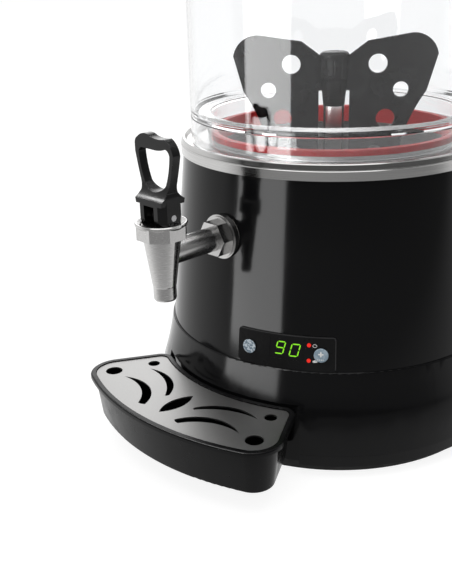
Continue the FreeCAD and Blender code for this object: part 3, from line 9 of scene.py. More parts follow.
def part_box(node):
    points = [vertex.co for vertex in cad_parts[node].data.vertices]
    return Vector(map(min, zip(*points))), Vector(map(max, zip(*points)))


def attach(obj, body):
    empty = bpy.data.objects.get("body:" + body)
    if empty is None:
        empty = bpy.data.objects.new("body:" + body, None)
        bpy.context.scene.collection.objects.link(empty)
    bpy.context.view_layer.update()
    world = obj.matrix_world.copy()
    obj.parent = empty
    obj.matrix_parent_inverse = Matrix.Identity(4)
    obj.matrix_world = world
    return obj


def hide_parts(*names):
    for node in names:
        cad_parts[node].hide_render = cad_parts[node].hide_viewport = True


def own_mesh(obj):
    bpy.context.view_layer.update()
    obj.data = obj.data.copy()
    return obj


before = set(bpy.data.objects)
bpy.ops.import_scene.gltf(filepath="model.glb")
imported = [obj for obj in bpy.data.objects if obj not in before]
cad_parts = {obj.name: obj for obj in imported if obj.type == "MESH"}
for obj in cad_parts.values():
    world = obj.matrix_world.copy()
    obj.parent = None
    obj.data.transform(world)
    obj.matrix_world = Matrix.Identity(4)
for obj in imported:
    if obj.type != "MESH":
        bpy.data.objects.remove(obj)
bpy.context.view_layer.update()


# ---- studio ----
# A pale worktop in a white room that is dim behind the camera, with a broad lamp above and weaker ones in
# front and behind on the left. A tall softbox left of the tap shows in the black shell and the bowl alone,
# and a long lamp high on the left in the handle, the panel and the tray alone. The camera is front right.

EYE = (0.51871, -0.63458, 0.42599)
EYE_RIGHT = (0.69485, 0.71863, -0.02745)
EYE_UP = (-0.24186, 0.26946, 0.93214)
EYE_AHEAD = (-0.67726, 0.64106, -0.36105)
LENS_MM = 53.94
SENSOR_MM = 36.0
SWEEP_SIDE = (-0.7262, 0.6875, 0.0)
DIM_SIDE = 0.12
ROOM_FILL = 0.5
WORKTOP_REACH = 8.0
WORKTOP_PALE = 0.3
WORKTOP_GLOW = 0.86


def set_camera():
    """A camera whose axes are the eye's right, up and backward directions."""
    camera = bpy.data.objects.new("camera", bpy.data.cameras.new("camera"))
    camera.data.lens = LENS_MM
    camera.data.sensor_width = SENSOR_MM
    camera.data.clip_start = 0.01
    axes = Matrix((EYE_RIGHT, EYE_UP, [-v for v in EYE_AHEAD])).transposed()
    camera.matrix_world = Matrix.Translation(EYE) @ axes.to_4x4()
    bpy.context.collection.objects.link(camera)
    bpy.context.scene.camera = camera


def softbox(name, place, aim, width, height, strength, diffuse=True, glossy=True):
    """A flat lamp of a given radiance: power is radiance times area times pi."""
    lamp = bpy.data.lights.new(name, "AREA")
    lamp.shape = "RECTANGLE"
    lamp.size = width
    lamp.size_y = height
    lamp.energy = strength * width * height * math.pi
    holder = bpy.data.objects.new(name, lamp)
    ahead = (Vector(aim) - Vector(place)).normalized()
    side = ahead.cross(Vector((0, 0, 1))).normalized()
    up = side.cross(ahead)
    holder.matrix_world = Matrix.Translation(place) @ Matrix((side, up, -ahead)).transposed().to_4x4()
    holder.visible_camera = False
    holder.visible_diffuse = diffuse
    holder.visible_glossy = glossy
    bpy.context.collection.objects.link(holder)
    return holder


def worked_out(nodes, links, operation, *values):
    """The outcome of one step of arithmetic on sockets and plain numbers."""
    step = nodes.new("ShaderNodeMath")
    step.operation = operation
    for place, value in zip(step.inputs, values):
        if isinstance(value, float):
            place.default_value = value
        else:
            links.new(value, place)
    return step.outputs[0]


def ray_is(nodes, links, *kinds):
    """One where a ray is of any of the kinds, and zero elsewhere."""
    path = nodes.new("ShaderNodeLightPath")
    total = path.outputs[kinds[0]]
    for kind in kinds[1:]:
        total = worked_out(nodes, links, "MAXIMUM", total, path.outputs[kind])
    return total


def seen_or_mirrored(nodes, links, coordinates, start, end):
    """One in view and through clear plastic. In reflections, a value that rises from DIM_SIDE on the camera's
    side to one behind the machine, as the coordinates run along SWEEP_SIDE from start to end."""
    place = nodes.new("ShaderNodeTexCoord")
    behind = nodes.new("ShaderNodeVectorMath")
    behind.operation = "DOT_PRODUCT"
    behind.inputs[1].default_value = SWEEP_SIDE
    links.new(place.outputs[coordinates], behind.inputs[0])
    rise = nodes.new("ShaderNodeMapRange")
    rise.interpolation_type = "SMOOTHSTEP"
    rise.inputs["From Min"].default_value = start
    rise.inputs["From Max"].default_value = end
    rise.inputs["To Min"].default_value = DIM_SIDE
    links.new(behind.outputs["Value"], rise.inputs["Value"])
    mirrored = worked_out(nodes, links, "MULTIPLY", rise.outputs[0], ray_is(nodes, links, "Is Glossy Ray"))
    seen = ray_is(nodes, links, "Is Camera Ray", "Is Transmission Ray")
    return worked_out(nodes, links, "MAXIMUM", mirrored, seen)


def light_room():
    """A white room, dim behind the camera, that lights each surface as an even half white would."""
    world = bpy.data.worlds.new("room")
    bpy.context.scene.world = world
    world.use_nodes = True
    nodes, links = world.node_tree.nodes, world.node_tree.links
    nodes.clear()
    strength = worked_out(nodes, links, "MULTIPLY_ADD", ray_is(nodes, links, "Is Diffuse Ray"), ROOM_FILL,
                          seen_or_mirrored(nodes, links, "Generated", start=-0.35, end=0.45))
    back = nodes.new("ShaderNodeBackground")
    back.inputs["Color"].default_value = (1, 1, 1, 1)
    links.new(strength, back.inputs["Strength"])
    out = nodes.new("ShaderNodeOutputWorld")
    links.new(back.outputs[0], out.inputs["Surface"])


def new_piece(name, points, faces):
    """Puts points and faces into a mesh of their own."""
    mesh = bpy.data.meshes.new(name)
    mesh.from_pydata(points, [], faces)
    piece = bpy.data.objects.new(name, mesh)
    bpy.context.collection.objects.link(piece)
    return piece


def shader_of(finish):
    """The plain shader of a material."""
    return finish.node_tree.nodes["Principled BSDF"]


def new_finish(name, colour, roughness, metallic=0.0, specular=0.5):
    """A plain material, with the sockets that are the same all over set on its shader."""
    finish = bpy.data.materials.new(name)
    finish.use_nodes = True
    shader = shader_of(finish)
    shader.inputs["Base Color"].default_value = (*colour, 1)
    shader.inputs["Roughness"].default_value = roughness
    shader.inputs["Metallic"].default_value = metallic
    shader.inputs["Specular IOR Level"].default_value = specular
    return finish


def lay_worktop():
    """A flat sheet under the machine that keeps its shadow and shows white where nothing shades it."""
    corners = WORKTOP_REACH * np.array([(-1, -1, 0), (1, -1, 0), (1, 1, 0), (-1, 1, 0)])
    top = new_piece("worktop", corners.tolist(), [(0, 1, 2, 3)])
    finish = new_finish("pale_laminate", (WORKTOP_PALE, WORKTOP_PALE, WORKTOP_PALE), 0.8, specular=0.0)
    shader_of(finish).inputs["Emission Color"].default_value = (1, 1, 1, 1)
    nodes, links = finish.node_tree.nodes, finish.node_tree.links
    glow = worked_out(nodes, links, "MULTIPLY",
                      seen_or_mirrored(nodes, links, "Object", start=-0.6, end=0.05), WORKTOP_GLOW)
    links.new(glow, shader_of(finish).inputs["Emission Strength"])
    top.data.materials.append(finish)


set_camera()
light_room()
lay_worktop()
softbox("key_overhead", (0.2, -0.4, 1.6), (0, 0, 0.2), width=1.4, height=1.4, strength=1.6)
softbox("front_fill", (0.5, -1.6, 0.9), (0, 0, 0.2), width=1.2, height=1.0, strength=1.1, glossy=False)
lit_black = bpy.data.collections.new("lit_black")
lit_black.objects.link(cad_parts["casing"])
lit_clear = bpy.data.collections.new("lit_clear")
lit_clear.objects.link(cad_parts["bowl"])
lit_edges = bpy.data.collections.new("lit_edges")
for name, lit, strength in (("tap_side_softbox", lit_black, 8.0), ("bowl_softbox", lit_clear, 5.0)):
    strip = softbox(name, (-0.055, -0.5, 0.36), (-0.055, 0, 0.36), width=0.31, height=0.72,
                    strength=strength, diffuse=False)
    strip.light_linking.receiver_collection = lit
edge_lamp = softbox("edge_lamp", (-0.6, -0.9, 1.6), (0, -0.15, 0.15), width=2.4, height=0.5,
                    strength=14.0, diffuse=False)
edge_lamp.light_linking.receiver_collection = lit_edges
softbox("back_left_lamp", (-1.3, 0.9, 0.9), (0, -0.1, 0.1), width=0.8, height=0.8, strength=1.5)


# ---- foot ring ----
# A ring of black rubber that the machine stands on, screwed up into the base. Its finish is dull and
# slightly dusty, as moulded rubber is.

NOISE_SPAN = (0.3, 0.7)


def finish_on(material, *nodes):
    """Gives machine parts their finish."""
    for node in nodes:
        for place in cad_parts[node].material_slots:
            place.material = material


def fine_noise(finish, scale, detail=3.0, stretch=(1, 1, 1)):
    """Noise on the piece's own coordinates, stretched along chosen axes."""
    nodes, links = finish.node_tree.nodes, finish.node_tree.links
    place = nodes.new("ShaderNodeTexCoord")
    mapping = nodes.new("ShaderNodeMapping")
    mapping.inputs["Scale"].default_value = stretch
    links.new(place.outputs["Object"], mapping.inputs["Vector"])
    noise = nodes.new("ShaderNodeTexNoise")
    noise.inputs["Scale"].default_value = scale
    noise.inputs["Detail"].default_value = detail
    links.new(mapping.outputs["Vector"], noise.inputs["Vector"])
    return noise.outputs["Fac"]


def spread(finish, value, low, high, span=NOISE_SPAN):
    """Maps a noise from its span to low and high."""
    stretch = finish.node_tree.nodes.new("ShaderNodeMapRange")
    stretch.inputs["From Min"].default_value = span[0]
    stretch.inputs["From Max"].default_value = span[1]
    stretch.inputs["To Min"].default_value = low
    stretch.inputs["To Max"].default_value = high
    finish.node_tree.links.new(value, stretch.inputs["Value"])
    return stretch.outputs[0]


def tint(finish, value, low, high):
    """Runs the colour from low to high as a noise goes over its usual span."""
    ramp = finish.node_tree.nodes.new("ShaderNodeValToRGB")
    for element, position, colour in zip(ramp.color_ramp.elements, NOISE_SPAN, (low, high)):
        element.position = position
        element.color = (*colour, 1)
    finish.node_tree.links.new(value, ramp.inputs["Fac"])
    finish.node_tree.links.new(ramp.outputs["Color"], shader_of(finish).inputs["Base Color"])


def roughen(finish, value, low, high):
    """Runs the roughness from low to high as a noise goes over its usual span."""
    finish.node_tree.links.new(spread(finish, value, low, high), shader_of(finish).inputs["Roughness"])


def relief(finish, value, depth):
    """Raises the surface by a noise, over a depth in metres."""
    bump = finish.node_tree.nodes.new("ShaderNodeBump")
    bump.inputs["Strength"].default_value = 1.0
    bump.inputs["Distance"].default_value = depth
    finish.node_tree.links.new(value, bump.inputs["Height"])
    finish.node_tree.links.new(bump.outputs["Normal"], shader_of(finish).inputs["Normal"])


def moulded_rubber(name, low, high, roughness=0.62):
    """Dull rubber with a fine dusty grain."""
    finish = new_finish(name, low, roughness, specular=0.4)
    tint(finish, fine_noise(finish, scale=60), low, high)
    roughen(finish, fine_noise(finish, scale=140), roughness - 0.08, roughness + 0.1)
    relief(finish, fine_noise(finish, scale=900), depth=0.00006)
    return finish


finish_on(moulded_rubber("foot_rubber", (0.012, 0.012, 0.012), (0.024, 0.024, 0.024)), "foot_ring")


# ---- base pan and its screws ----
# A zinc-plated steel disc with vent holes closes the base from below. Plating shows a faint cloudy spangle.
# The motor's plate and posts are plated too, and all the small screws are plain turned steel.

def plated_sheet(name, low, high, roughness=0.38):
    """Plated steel with a cloudy spangle of small cells."""
    finish = new_finish(name, high, roughness, metallic=1.0)
    cells = finish.node_tree.nodes.new("ShaderNodeTexVoronoi")
    place = finish.node_tree.nodes.new("ShaderNodeTexCoord")
    cells.inputs["Scale"].default_value = 130
    finish.node_tree.links.new(place.outputs["Object"], cells.inputs["Vector"])
    tint(finish, cells.outputs["Distance"], low, high)
    roughen(finish, fine_noise(finish, scale=70), roughness - 0.08, roughness + 0.1)
    relief(finish, fine_noise(finish, scale=500), depth=0.00002)
    return finish


def turned_screw_steel(name):
    """Bright steel with very fine turning marks."""
    finish = new_finish(name, (0.56, 0.56, 0.57), 0.3, metallic=1.0)
    roughen(finish, fine_noise(finish, scale=1200), 0.2, 0.42)
    relief(finish, fine_noise(finish, scale=2500), depth=0.00001)
    return finish


zinc = plated_sheet("zinc_plate", (0.42, 0.43, 0.44), (0.6, 0.61, 0.62))
screw_steel = turned_screw_steel("screw_steel")
finish_on(zinc, "base_pan", "motor_plate", "motor_posts")
finish_on(screw_steel, "base_screws", "casing_screws", "motor_screws", "lid_screw")


# ---- base ring and casing ----
# Two mouldings in high-gloss black plastic: the flared base with the nest for the tray, and the tapered
# casing on it. The skin is polished, with a very slight orange peel and faint wiping marks.

WELD_GAP = 2e-6
FLAT_TURN = math.radians(0.6)
EDGE_TURN = math.radians(38)


def polished_black(name, colour, roughness):
    """High-gloss plastic with upright wiping marks and a slight orange peel."""
    finish = new_finish(name, colour, roughness, specular=0.17)
    roughen(finish, fine_noise(finish, scale=35, stretch=(1, 1, 0.25)), roughness * 0.75, roughness * 1.35)
    relief(finish, fine_noise(finish, scale=220, detail=1.0), depth=0.000004)
    return finish


def wear(piece, body, finish):
    """Sets a piece's finish and the body that carries it."""
    piece.data.materials.clear()
    piece.data.materials.append(finish)
    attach(piece, body)


def eased_copy(node, body, finish, width, segments=2):
    """A welded copy of a machine part that stands for the part. Faces that turn less than FLAT_TURN are
    joined, and edges that turn more than EDGE_TURN are eased by a narrow bevel."""
    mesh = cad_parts[node].data.copy()
    welded = bmesh.new()
    welded.from_mesh(mesh)
    bmesh.ops.remove_doubles(welded, verts=welded.verts, dist=WELD_GAP)
    bmesh.ops.dissolve_limit(welded, angle_limit=FLAT_TURN, verts=welded.verts, edges=welded.edges)
    welded.to_mesh(mesh)
    welded.free()
    if "custom_normal" in mesh.attributes:
        mesh.attributes.remove(mesh.attributes["custom_normal"])
    mesh.shade_smooth()
    mesh.set_sharp_from_angle(angle=EDGE_TURN)
    piece = bpy.data.objects.new(node + "_eased", mesh)
    bpy.context.collection.objects.link(piece)
    bevel = piece.modifiers.new("eased", "BEVEL")
    bevel.width = width
    bevel.segments = segments
    bevel.limit_method = "ANGLE"
    bevel.angle_limit = EDGE_TURN
    even = piece.modifiers.new("even", "WEIGHTED_NORMAL")
    even.keep_sharp = True
    wear(piece, body, finish)
    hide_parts(node)
    return piece


gloss_black = polished_black("gloss_black", (0.004, 0.004, 0.0044), 0.11)
finish_on(gloss_black, "casing")
lit_black.objects.link(eased_copy("base_ring", "machine", gloss_black, width=0.0006))


# ---- heating and drive inside the casing ----
# A cast aluminium plate with a tubular element under the tank, a felt jacket round it, and the gear motor on
# its plate and posts below. None of it shows from outside, except through the vents.

def cast_metal(name, low, high, roughness):
    """Metal with a cloudy, finely pitted skin."""
    finish = new_finish(name, high, roughness, metallic=1.0)
    tint(finish, fine_noise(finish, scale=90), low, high)
    relief(finish, fine_noise(finish, scale=700), depth=0.00008)
    return finish


def mineral_felt(name):
    """Pale felt with fibres that lie level."""
    finish = new_finish(name, (0.72, 0.69, 0.6), 0.95, specular=0.2)
    fibres = fine_noise(finish, scale=300, detail=6.0, stretch=(1, 1, 3))
    tint(finish, fibres, (0.6, 0.57, 0.48), (0.8, 0.78, 0.7))
    relief(finish, fibres, depth=0.0006)
    return finish


def painted_case(name, low, high):
    """Paint or lacquer with a slight grain."""
    finish = new_finish(name, high, 0.4)
    tint(finish, fine_noise(finish, scale=50), low, high)
    relief(finish, fine_noise(finish, scale=500), depth=0.00004)
    return finish


finish_on(cast_metal("heater_aluminium", (0.55, 0.55, 0.56), (0.7, 0.7, 0.71), 0.5), "heater_plate")
finish_on(cast_metal("element_steel", (0.2, 0.18, 0.17), (0.36, 0.34, 0.33), 0.45), "heating_element")
finish_on(plated_sheet("thermostat_zinc", (0.42, 0.43, 0.44), (0.6, 0.61, 0.62)), "thermostat")
finish_on(mineral_felt("jacket_wool"), "insulation_jacket")
finish_on(painted_case("motor_grey", (0.25, 0.26, 0.28), (0.34, 0.35, 0.37)), "gear_motor")
finish_on(painted_case("board_green", (0.015, 0.12, 0.05), (0.03, 0.18, 0.07)), "control_board")


# ---- trim ring and tank ----
# Stainless steel, turned and brushed round its axis, so the fine lines run round the ring. The tank's wall
# and floor below have the same finish, a little duller.

def brushed_round(name, colour, roughness, centre=(0, 0), lines=5200, depth=0.000004, drift=0.0006):
    """Brushed lines that run round an upright axis: a noise of radius and height, which changes with the
    angle only by the drift, in metres for each radian."""
    finish = new_finish(name, colour, roughness, metallic=1.0)
    nodes, links = finish.node_tree.nodes, finish.node_tree.links
    place = nodes.new("ShaderNodeTexCoord")
    mapping = nodes.new("ShaderNodeMapping")
    mapping.inputs["Location"].default_value = (-centre[0], -centre[1], 0)
    links.new(place.outputs["Object"], mapping.inputs["Vector"])
    split = nodes.new("ShaderNodeSeparateXYZ")
    links.new(mapping.outputs["Vector"], split.inputs["Vector"])
    flat = nodes.new("ShaderNodeCombineXYZ")
    links.new(split.outputs["X"], flat.inputs["X"])
    links.new(split.outputs["Y"], flat.inputs["Y"])
    radius = nodes.new("ShaderNodeVectorMath")
    radius.operation = "LENGTH"
    links.new(flat.outputs[0], radius.inputs[0])
    turn = worked_out(nodes, links, "ARCTAN2", split.outputs["Y"], split.outputs["X"])
    grain = nodes.new("ShaderNodeCombineXYZ")
    links.new(radius.outputs["Value"], grain.inputs["X"])
    links.new(split.outputs["Z"], grain.inputs["Y"])
    links.new(worked_out(nodes, links, "MULTIPLY", turn, drift), grain.inputs["Z"])
    noise = nodes.new("ShaderNodeTexNoise")
    noise.inputs["Scale"].default_value = lines
    noise.inputs["Detail"].default_value = 4.0
    links.new(grain.outputs[0], noise.inputs["Vector"])
    brushed = noise.outputs["Fac"]
    tint(finish, brushed, [v * 0.88 for v in colour], [min(1.0, v * 1.25) for v in colour])
    roughen(finish, brushed, roughness - 0.06, roughness + 0.08)
    relief(finish, brushed, depth)
    return finish


finish_on(brushed_round("ring_steel", (0.5, 0.496, 0.49), 0.16), "trim_ring")
finish_on(brushed_round("tank_steel", (0.55, 0.545, 0.54), 0.28), "inner_tank")


# ---- bowl gasket and seals ----
# A soft channel of red silicone, an inverted U in section, is clipped over the tank's collar under the bowl.
# The column, the shank, the tank and the valve seal with white silicone. Both have a dull skin that lets some
# light in.

def soft_silicone(name, low, high, glow):
    """Soft silicone, with light carried below the skin over the glow's reaches for red, green and blue."""
    finish = new_finish(name, high, 0.4, specular=0.45)
    tint(finish, fine_noise(finish, scale=80), low, high)
    roughen(finish, fine_noise(finish, scale=200), 0.34, 0.52)
    shader = shader_of(finish)
    shader.inputs["Subsurface Weight"].default_value = 0.25
    shader.inputs["Subsurface Radius"].default_value = glow
    shader.inputs["Subsurface Scale"].default_value = 0.002
    relief(finish, fine_noise(finish, scale=1200), depth=0.00002)
    return finish


red_silicone = soft_silicone("red_silicone", (0.62, 0.012, 0.018), (0.74, 0.018, 0.024),
                             glow=(1.0, 0.2, 0.1))
finish_on(red_silicone, "bowl_gasket")
white_silicone = soft_silicone("seal_silicone", (0.6, 0.58, 0.54), (0.72, 0.7, 0.66),
                               glow=(1.0, 0.8, 0.6))
finish_on(white_silicone, "column_seal", "shank_seal", "tank_seal", "seat_cup")


# ---- centre column and drive shaft ----
# A finely brushed steel tube stands in the middle of the tank and guards the shaft, which turns in two
# plastic bushes and ends in a square.

def moulded_satin(name, low, high, roughness, depth=0.00003, specular=0.45):
    """Satin moulded plastic with a fine spark-eroded grain."""
    finish = new_finish(name, high, roughness, specular=specular)
    tint(finish, fine_noise(finish, scale=30), low, high)
    roughen(finish, fine_noise(finish, scale=90), roughness - 0.06, roughness + 0.08)
    relief(finish, fine_noise(finish, scale=900), depth)
    return finish


finish_on(brushed_round("column_steel", (0.66, 0.65, 0.64), 0.16), "shaft_tube", "drive_shaft")
finish_on(moulded_satin("bush_plastic", (0.72, 0.71, 0.66), (0.8, 0.79, 0.75), 0.42), "shaft_bushes")


# ---- stirrer ----
# A fluted hub with two perforated wings, moulded in one piece of black food-safe plastic. It drops over the
# square of the shaft and lifts off for washing.

stirrer_plastic = moulded_satin("stirrer_plastic", (0.003, 0.003, 0.0033), (0.006, 0.006, 0.0063), 0.25,
                                specular=0.15)
finish_on(stirrer_plastic, "stirrer")


# ---- bowl and lid ----
# Clear moulded plastic with polished faces, thick at the shelf and the rim. The lid is moulded from the same,
# and its black knob is held by one screw.

def clear_moulding(name):
    """Clear acrylic with a polished skin that waves very slightly."""
    finish = new_finish(name, (0.985, 0.99, 0.995), 0.015)
    shader = shader_of(finish)
    shader.inputs["Transmission Weight"].default_value = 1.0
    shader.inputs["IOR"].default_value = 1.49
    roughen(finish, fine_noise(finish, scale=40), 0.005, 0.03)
    relief(finish, fine_noise(finish, scale=18, detail=1.0), depth=0.00002)
    return finish


finish_on(clear_moulding("clear_bowl"), "bowl", "lid")
handle_black = moulded_satin("handle_plastic", (0.004, 0.004, 0.0043), (0.007, 0.007, 0.0074), 0.2,
                             depth=0.000006, specular=0.3)
finish_on(handle_black, "lid_knob")


# ---- tap ----
# Stainless bar turned to a cone and a spout and brushed round its axis, with a dished bonnet nut and a stem
# that a wire spring holds down. The nut and washers of its shank have a plainer skin. The collar and the
# looped handle on its cross pin are black plastic.

TAP_REACH = 0.212
SPRING_MEAN = 0.0049
SPRING_WIRE = 0.0006
SPRING_COILS = 7
STEPS_A_COIL = 48
WIRE_SIDES = 10

tap_steel = brushed_round("tap_steel", (0.52, 0.515, 0.51), 0.2, centre=(0, -TAP_REACH), lines=4200,
                          depth=0.0000006)
finish_on(tap_steel, "tap_body", "bonnet_nut", "tap_stem")
nut_steel = cast_metal("nut_steel", (0.5, 0.495, 0.49), (0.6, 0.594, 0.588), 0.2)
finish_on(nut_steel, "tap_hex_nut", "tap_flange", "tap_washer", "tank_locknut")
finish_on(handle_black, "tap_collar")
lit_edges.objects.link(eased_copy("tap_handle", "lever", handle_black, width=0.0008))
finish_on(turned_screw_steel("pin_steel"), "tap_pin")


def grid_faces(rows, columns, closed=False):
    """Quads between neighbours on a grid of points that are numbered row by row. Closed ones also join the
    last column to the first."""
    row = columns * np.arange(rows - 1)[:, None]
    column = np.arange(columns if closed else columns - 1)
    after = (column + 1) % columns
    return np.stack([row + column, row + after, row + columns + after, row + columns + column],
                    axis=-1).reshape(-1, 4)


def coil_spring(name, low, high):
    """A round wire of radius w carried along the helix (r cos a, r sin a, z) round the tap's axis, with
    a = 2 pi coils t and z from low + w to high - w as t runs from 0 to 1."""
    t = np.linspace(0, 1, STEPS_A_COIL * SPRING_COILS + 1)
    a = 2 * math.pi * SPRING_COILS * t
    climb = (high - low) / (2 * math.pi * SPRING_COILS)
    outward = np.stack([np.cos(a), np.sin(a), 0 * t], axis=-1)
    ahead = np.stack([-SPRING_MEAN * np.sin(a), SPRING_MEAN * np.cos(a), climb + 0 * t], axis=-1)
    ahead /= np.linalg.norm(ahead, axis=1, keepdims=True)
    upward = np.cross(ahead, outward)
    middle = SPRING_MEAN * outward + np.array([0, -TAP_REACH, 0])
    middle[:, 2] += low + SPRING_WIRE + (high - low - 2 * SPRING_WIRE) * t
    around = np.linspace(0, 2 * math.pi, WIRE_SIDES, endpoint=False)[:, None]
    section = np.cos(around) * outward[:, None] + np.sin(around) * upward[:, None]
    points = (middle[:, None] + SPRING_WIRE * section).reshape(-1, 3)
    ring = np.arange(WIRE_SIDES)
    ends = [ring[::-1].tolist(), (ring + len(points) - WIRE_SIDES).tolist()]
    faces = grid_faces(len(t), WIRE_SIDES, closed=True).tolist() + ends
    piece = new_piece(name, points.tolist(), faces)
    piece.data.shade_smooth()
    return piece


spring_foot, spring_head = (corner[2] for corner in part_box("tap_spring"))
spring = coil_spring("tap_coil", spring_foot, spring_head)
wear(spring, "machine", turned_screw_steel("spring_steel"))
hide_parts("tap_spring")
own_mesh(spring)


# ---- control panel ----
# A satin dark moulding set in the foot of the casing, with a raised lip, a window with two lit digits, two
# red lamps with a printed mark beside each, and two round keys under wider pale caps. The lit and printed
# marks are thin raised strokes.

PANEL_LOW = 0.096
SKIN_LOW = 0.1556
SKIN_SLOPE = 0.0975
PANEL_ARC = 0.1543
STROKE_DEPTH = 0.00008
STROKE_TIP = 0.00004


def on_panel(angle, level, lift):
    """Points over the casing's cone: radius SKIN_LOW - SKIN_SLOPE (z - PANEL_LOW) + lift, at an angle in
    degrees from the front."""
    radius = SKIN_LOW - SKIN_SLOPE * (level - PANEL_LOW) + lift
    turn = np.radians(angle)
    return np.stack([radius * np.sin(turn), -radius * np.cos(turn), level], axis=-1)


def strokes(name, lines, lift, depth=STROKE_DEPTH, place=on_panel, unit=PANEL_ARC * math.radians(1)):
    """Raised strokes on a face. Each line is (across, levels, half width), sampled along its middle, with
    across in units of so many metres. Its section is a flat strip of that half width at the lift, with sides
    down to lift - depth."""
    points, faces, first = [], [], 0
    for across, levels, half in lines:
        along = np.gradient(across * unit)
        up = np.gradient(levels)
        size = np.hypot(along, up)
        side = -up / size * half / unit
        rise = along / size * half
        upper, lower = (across + side, levels + rise), (across - side, levels - rise)
        rows = [place(*upper, lift - depth), place(*upper, lift),
                place(*lower, lift), place(*lower, lift - depth)]
        points.append(np.stack(rows, axis=1).reshape(-1, 3))
        faces.append(first + grid_faces(len(across), len(rows)))
        first += len(points[-1])
    return new_piece(name, np.concatenate(points).tolist(), np.concatenate(faces).tolist())


def bar(start, end, half, count=9):
    """A straight stroke with pointed ends between two (angle, level) pairs: start + (end - start) t."""
    t = np.linspace(0, 1, count)
    length = math.hypot(math.radians(end[0] - start[0]) * PANEL_ARC, end[1] - start[1])
    near = np.minimum(t, 1 - t) * length
    return (start[0] + (end[0] - start[0]) * t, start[1] + (end[1] - start[1]) * t,
            np.clip(near, STROKE_TIP, half))


def digit(left, right, low, high, lit, half=0.0005, gap=0.00025, lean=0.5):
    """A seven-segment figure between two angles and two levels. It leans by so many degrees each way, and lit
    names its bars a to g from the top, clockwise, with g across the middle."""
    mid = (low + high) / 2
    slack = math.degrees(gap / PANEL_ARC)

    def at(side, level):
        return (side + lean * (level - mid) / (high - mid), level)

    ends = {"a": (at(left + slack, high), at(right - slack, high)),
            "b": (at(right, mid + gap), at(right, high - gap)),
            "c": (at(right, low + gap), at(right, mid - gap)),
            "d": (at(left + slack, low), at(right - slack, low)),
            "e": (at(left, low + gap), at(left, mid - gap)),
            "f": (at(left, mid + gap), at(left, high - gap)),
            "g": (at(left + slack, mid), at(right - slack, mid))}
    return [bar(*ends[name], half) for name in lit]


def lit_lens(name, colour, strength):
    """A small lens that glows evenly in its own colour."""
    finish = new_finish(name, colour, 0.2)
    shader = shader_of(finish)
    shader.inputs["Emission Color"].default_value = (*colour, 1)
    shader.inputs["Emission Strength"].default_value = strength
    relief(finish, fine_noise(finish, scale=800), depth=0.00002)
    return finish


panel_plastic = moulded_satin("panel_grey", (0.006, 0.006, 0.0063), (0.009, 0.009, 0.0094), 0.3,
                              depth=0.000008, specular=0.16)
lit_edges.objects.link(eased_copy("panel_bezel", "machine", panel_plastic, width=0.0004))
finish_on(panel_plastic, "display_window")

nine = digit(left=22.45, right=25.0, low=0.1095, high=0.1202, lit="abcdfg")
zero = digit(left=27.1, right=29.75, low=0.1086, high=0.1192, lit="abcdef")
wear(strokes("digits", nine + zero, lift=0.00083), "machine",
     lit_lens("digit_green", (0.22, 0.68, 0.015), 0.65))
finish_on(lit_lens("lamp_red", (0.8, 0.02, 0.01), 0.5), "indicator_lamps")

# The lip runs from the panel's upper left corner along its top, round the upper right corner and down.
top_run, corner_run, side_run = 40, (0.1264, 0.126, 0.1254), 20
lip_angles = np.concatenate([np.linspace(9.6, 40.3, top_run), np.full(len(corner_run), 40.9),
                             np.full(side_run, 41.15)])
lip_levels = np.concatenate([np.full(top_run, 0.12655), corner_run, np.linspace(0.1246, 0.0985, side_run)])
# The lip's grey is lighter than the panel's: a painted highlight along the raised border. Its gloss also
# catches real highlights.
wear(strokes("panel_lip", [(lip_angles, lip_levels, 0.00032)], lift=0.0013, depth=0.0006), "machine",
     moulded_satin("lip_painted_highlight", (0.03, 0.03, 0.031), (0.045, 0.045, 0.046), 0.16))

# A ring beside the upper lamp, and a bowed drop, widest in its middle, beside the lower one.
loop = np.linspace(0, 2 * math.pi, 25)
bow, swell = np.sin(np.linspace(0.2, 2.9, 13)), np.sin(np.linspace(0.15, 2.99, 13))
ring_mark = (34.7 + 0.62 * np.cos(loop), 0.1191 + 0.0013 * np.sin(loop), 0.0002)
drop_mark = (np.linspace(34.1, 35.6, 13), 0.1049 + 0.0006 * bow, 0.00015 + 0.00105 * swell)
print_white = moulded_satin("print_white", (0.9, 0.9, 0.89), (0.97, 0.97, 0.96), 0.5)
wear(strokes("lamp_marks", [ring_mark, drop_mark], lift=0.00098), "machine", print_white)

KEY_LEVEL = 0.1116
CAP_ARC = 0.1565
CAP_SIDES = 48
CAP_RADII = np.array([0.0, 0.003, 0.0052, 0.0059, 0.00615, 0.00612, 0.0])[:, None]
CAP_LIFTS = np.array([0.00272, 0.0027, 0.00262, 0.0025, 0.00235, 0.00222, 0.00222])[:, None]


def key_cap(name, angle):
    """A round cap over a key: the profile of radii r and lifts turned round the key's middle on the cone,
    at angle + r cos t / CAP_ARC and level + r sin t."""
    t = np.linspace(0, 2 * math.pi, CAP_SIDES, endpoint=False)
    across = angle + np.degrees(CAP_RADII * np.cos(t) / CAP_ARC)
    points = on_panel(across, KEY_LEVEL + CAP_RADII * np.sin(t), CAP_LIFTS)
    faces = grid_faces(len(CAP_RADII), CAP_SIDES, closed=True)
    piece = new_piece(name, points.reshape(-1, 3).tolist(), faces.tolist())
    welded = bmesh.new()
    welded.from_mesh(piece.data)
    bmesh.ops.remove_doubles(welded, verts=welded.verts, dist=WELD_GAP)
    bmesh.ops.recalc_face_normals(welded, faces=welded.faces)
    welded.to_mesh(piece.data)
    welded.free()
    piece.data.shade_smooth()
    return piece


def mottled_key(name, low, high, scale):
    """Pale cap print with a fine web of lighter and darker patches."""
    finish = new_finish(name, high, 0.3, specular=0.45)
    web = fine_noise(finish, scale, detail=2.0)
    tint(finish, spread(finish, web, 0, 1, span=(0.4, 0.6)), low, high)
    relief(finish, web, depth=0.00004)
    return finish


def key_angle(node):
    """A key's angle from the front, from the middle of its box."""
    low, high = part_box(node)
    return math.degrees(math.atan2(low[0] + high[0], -low[1] - high[1]))


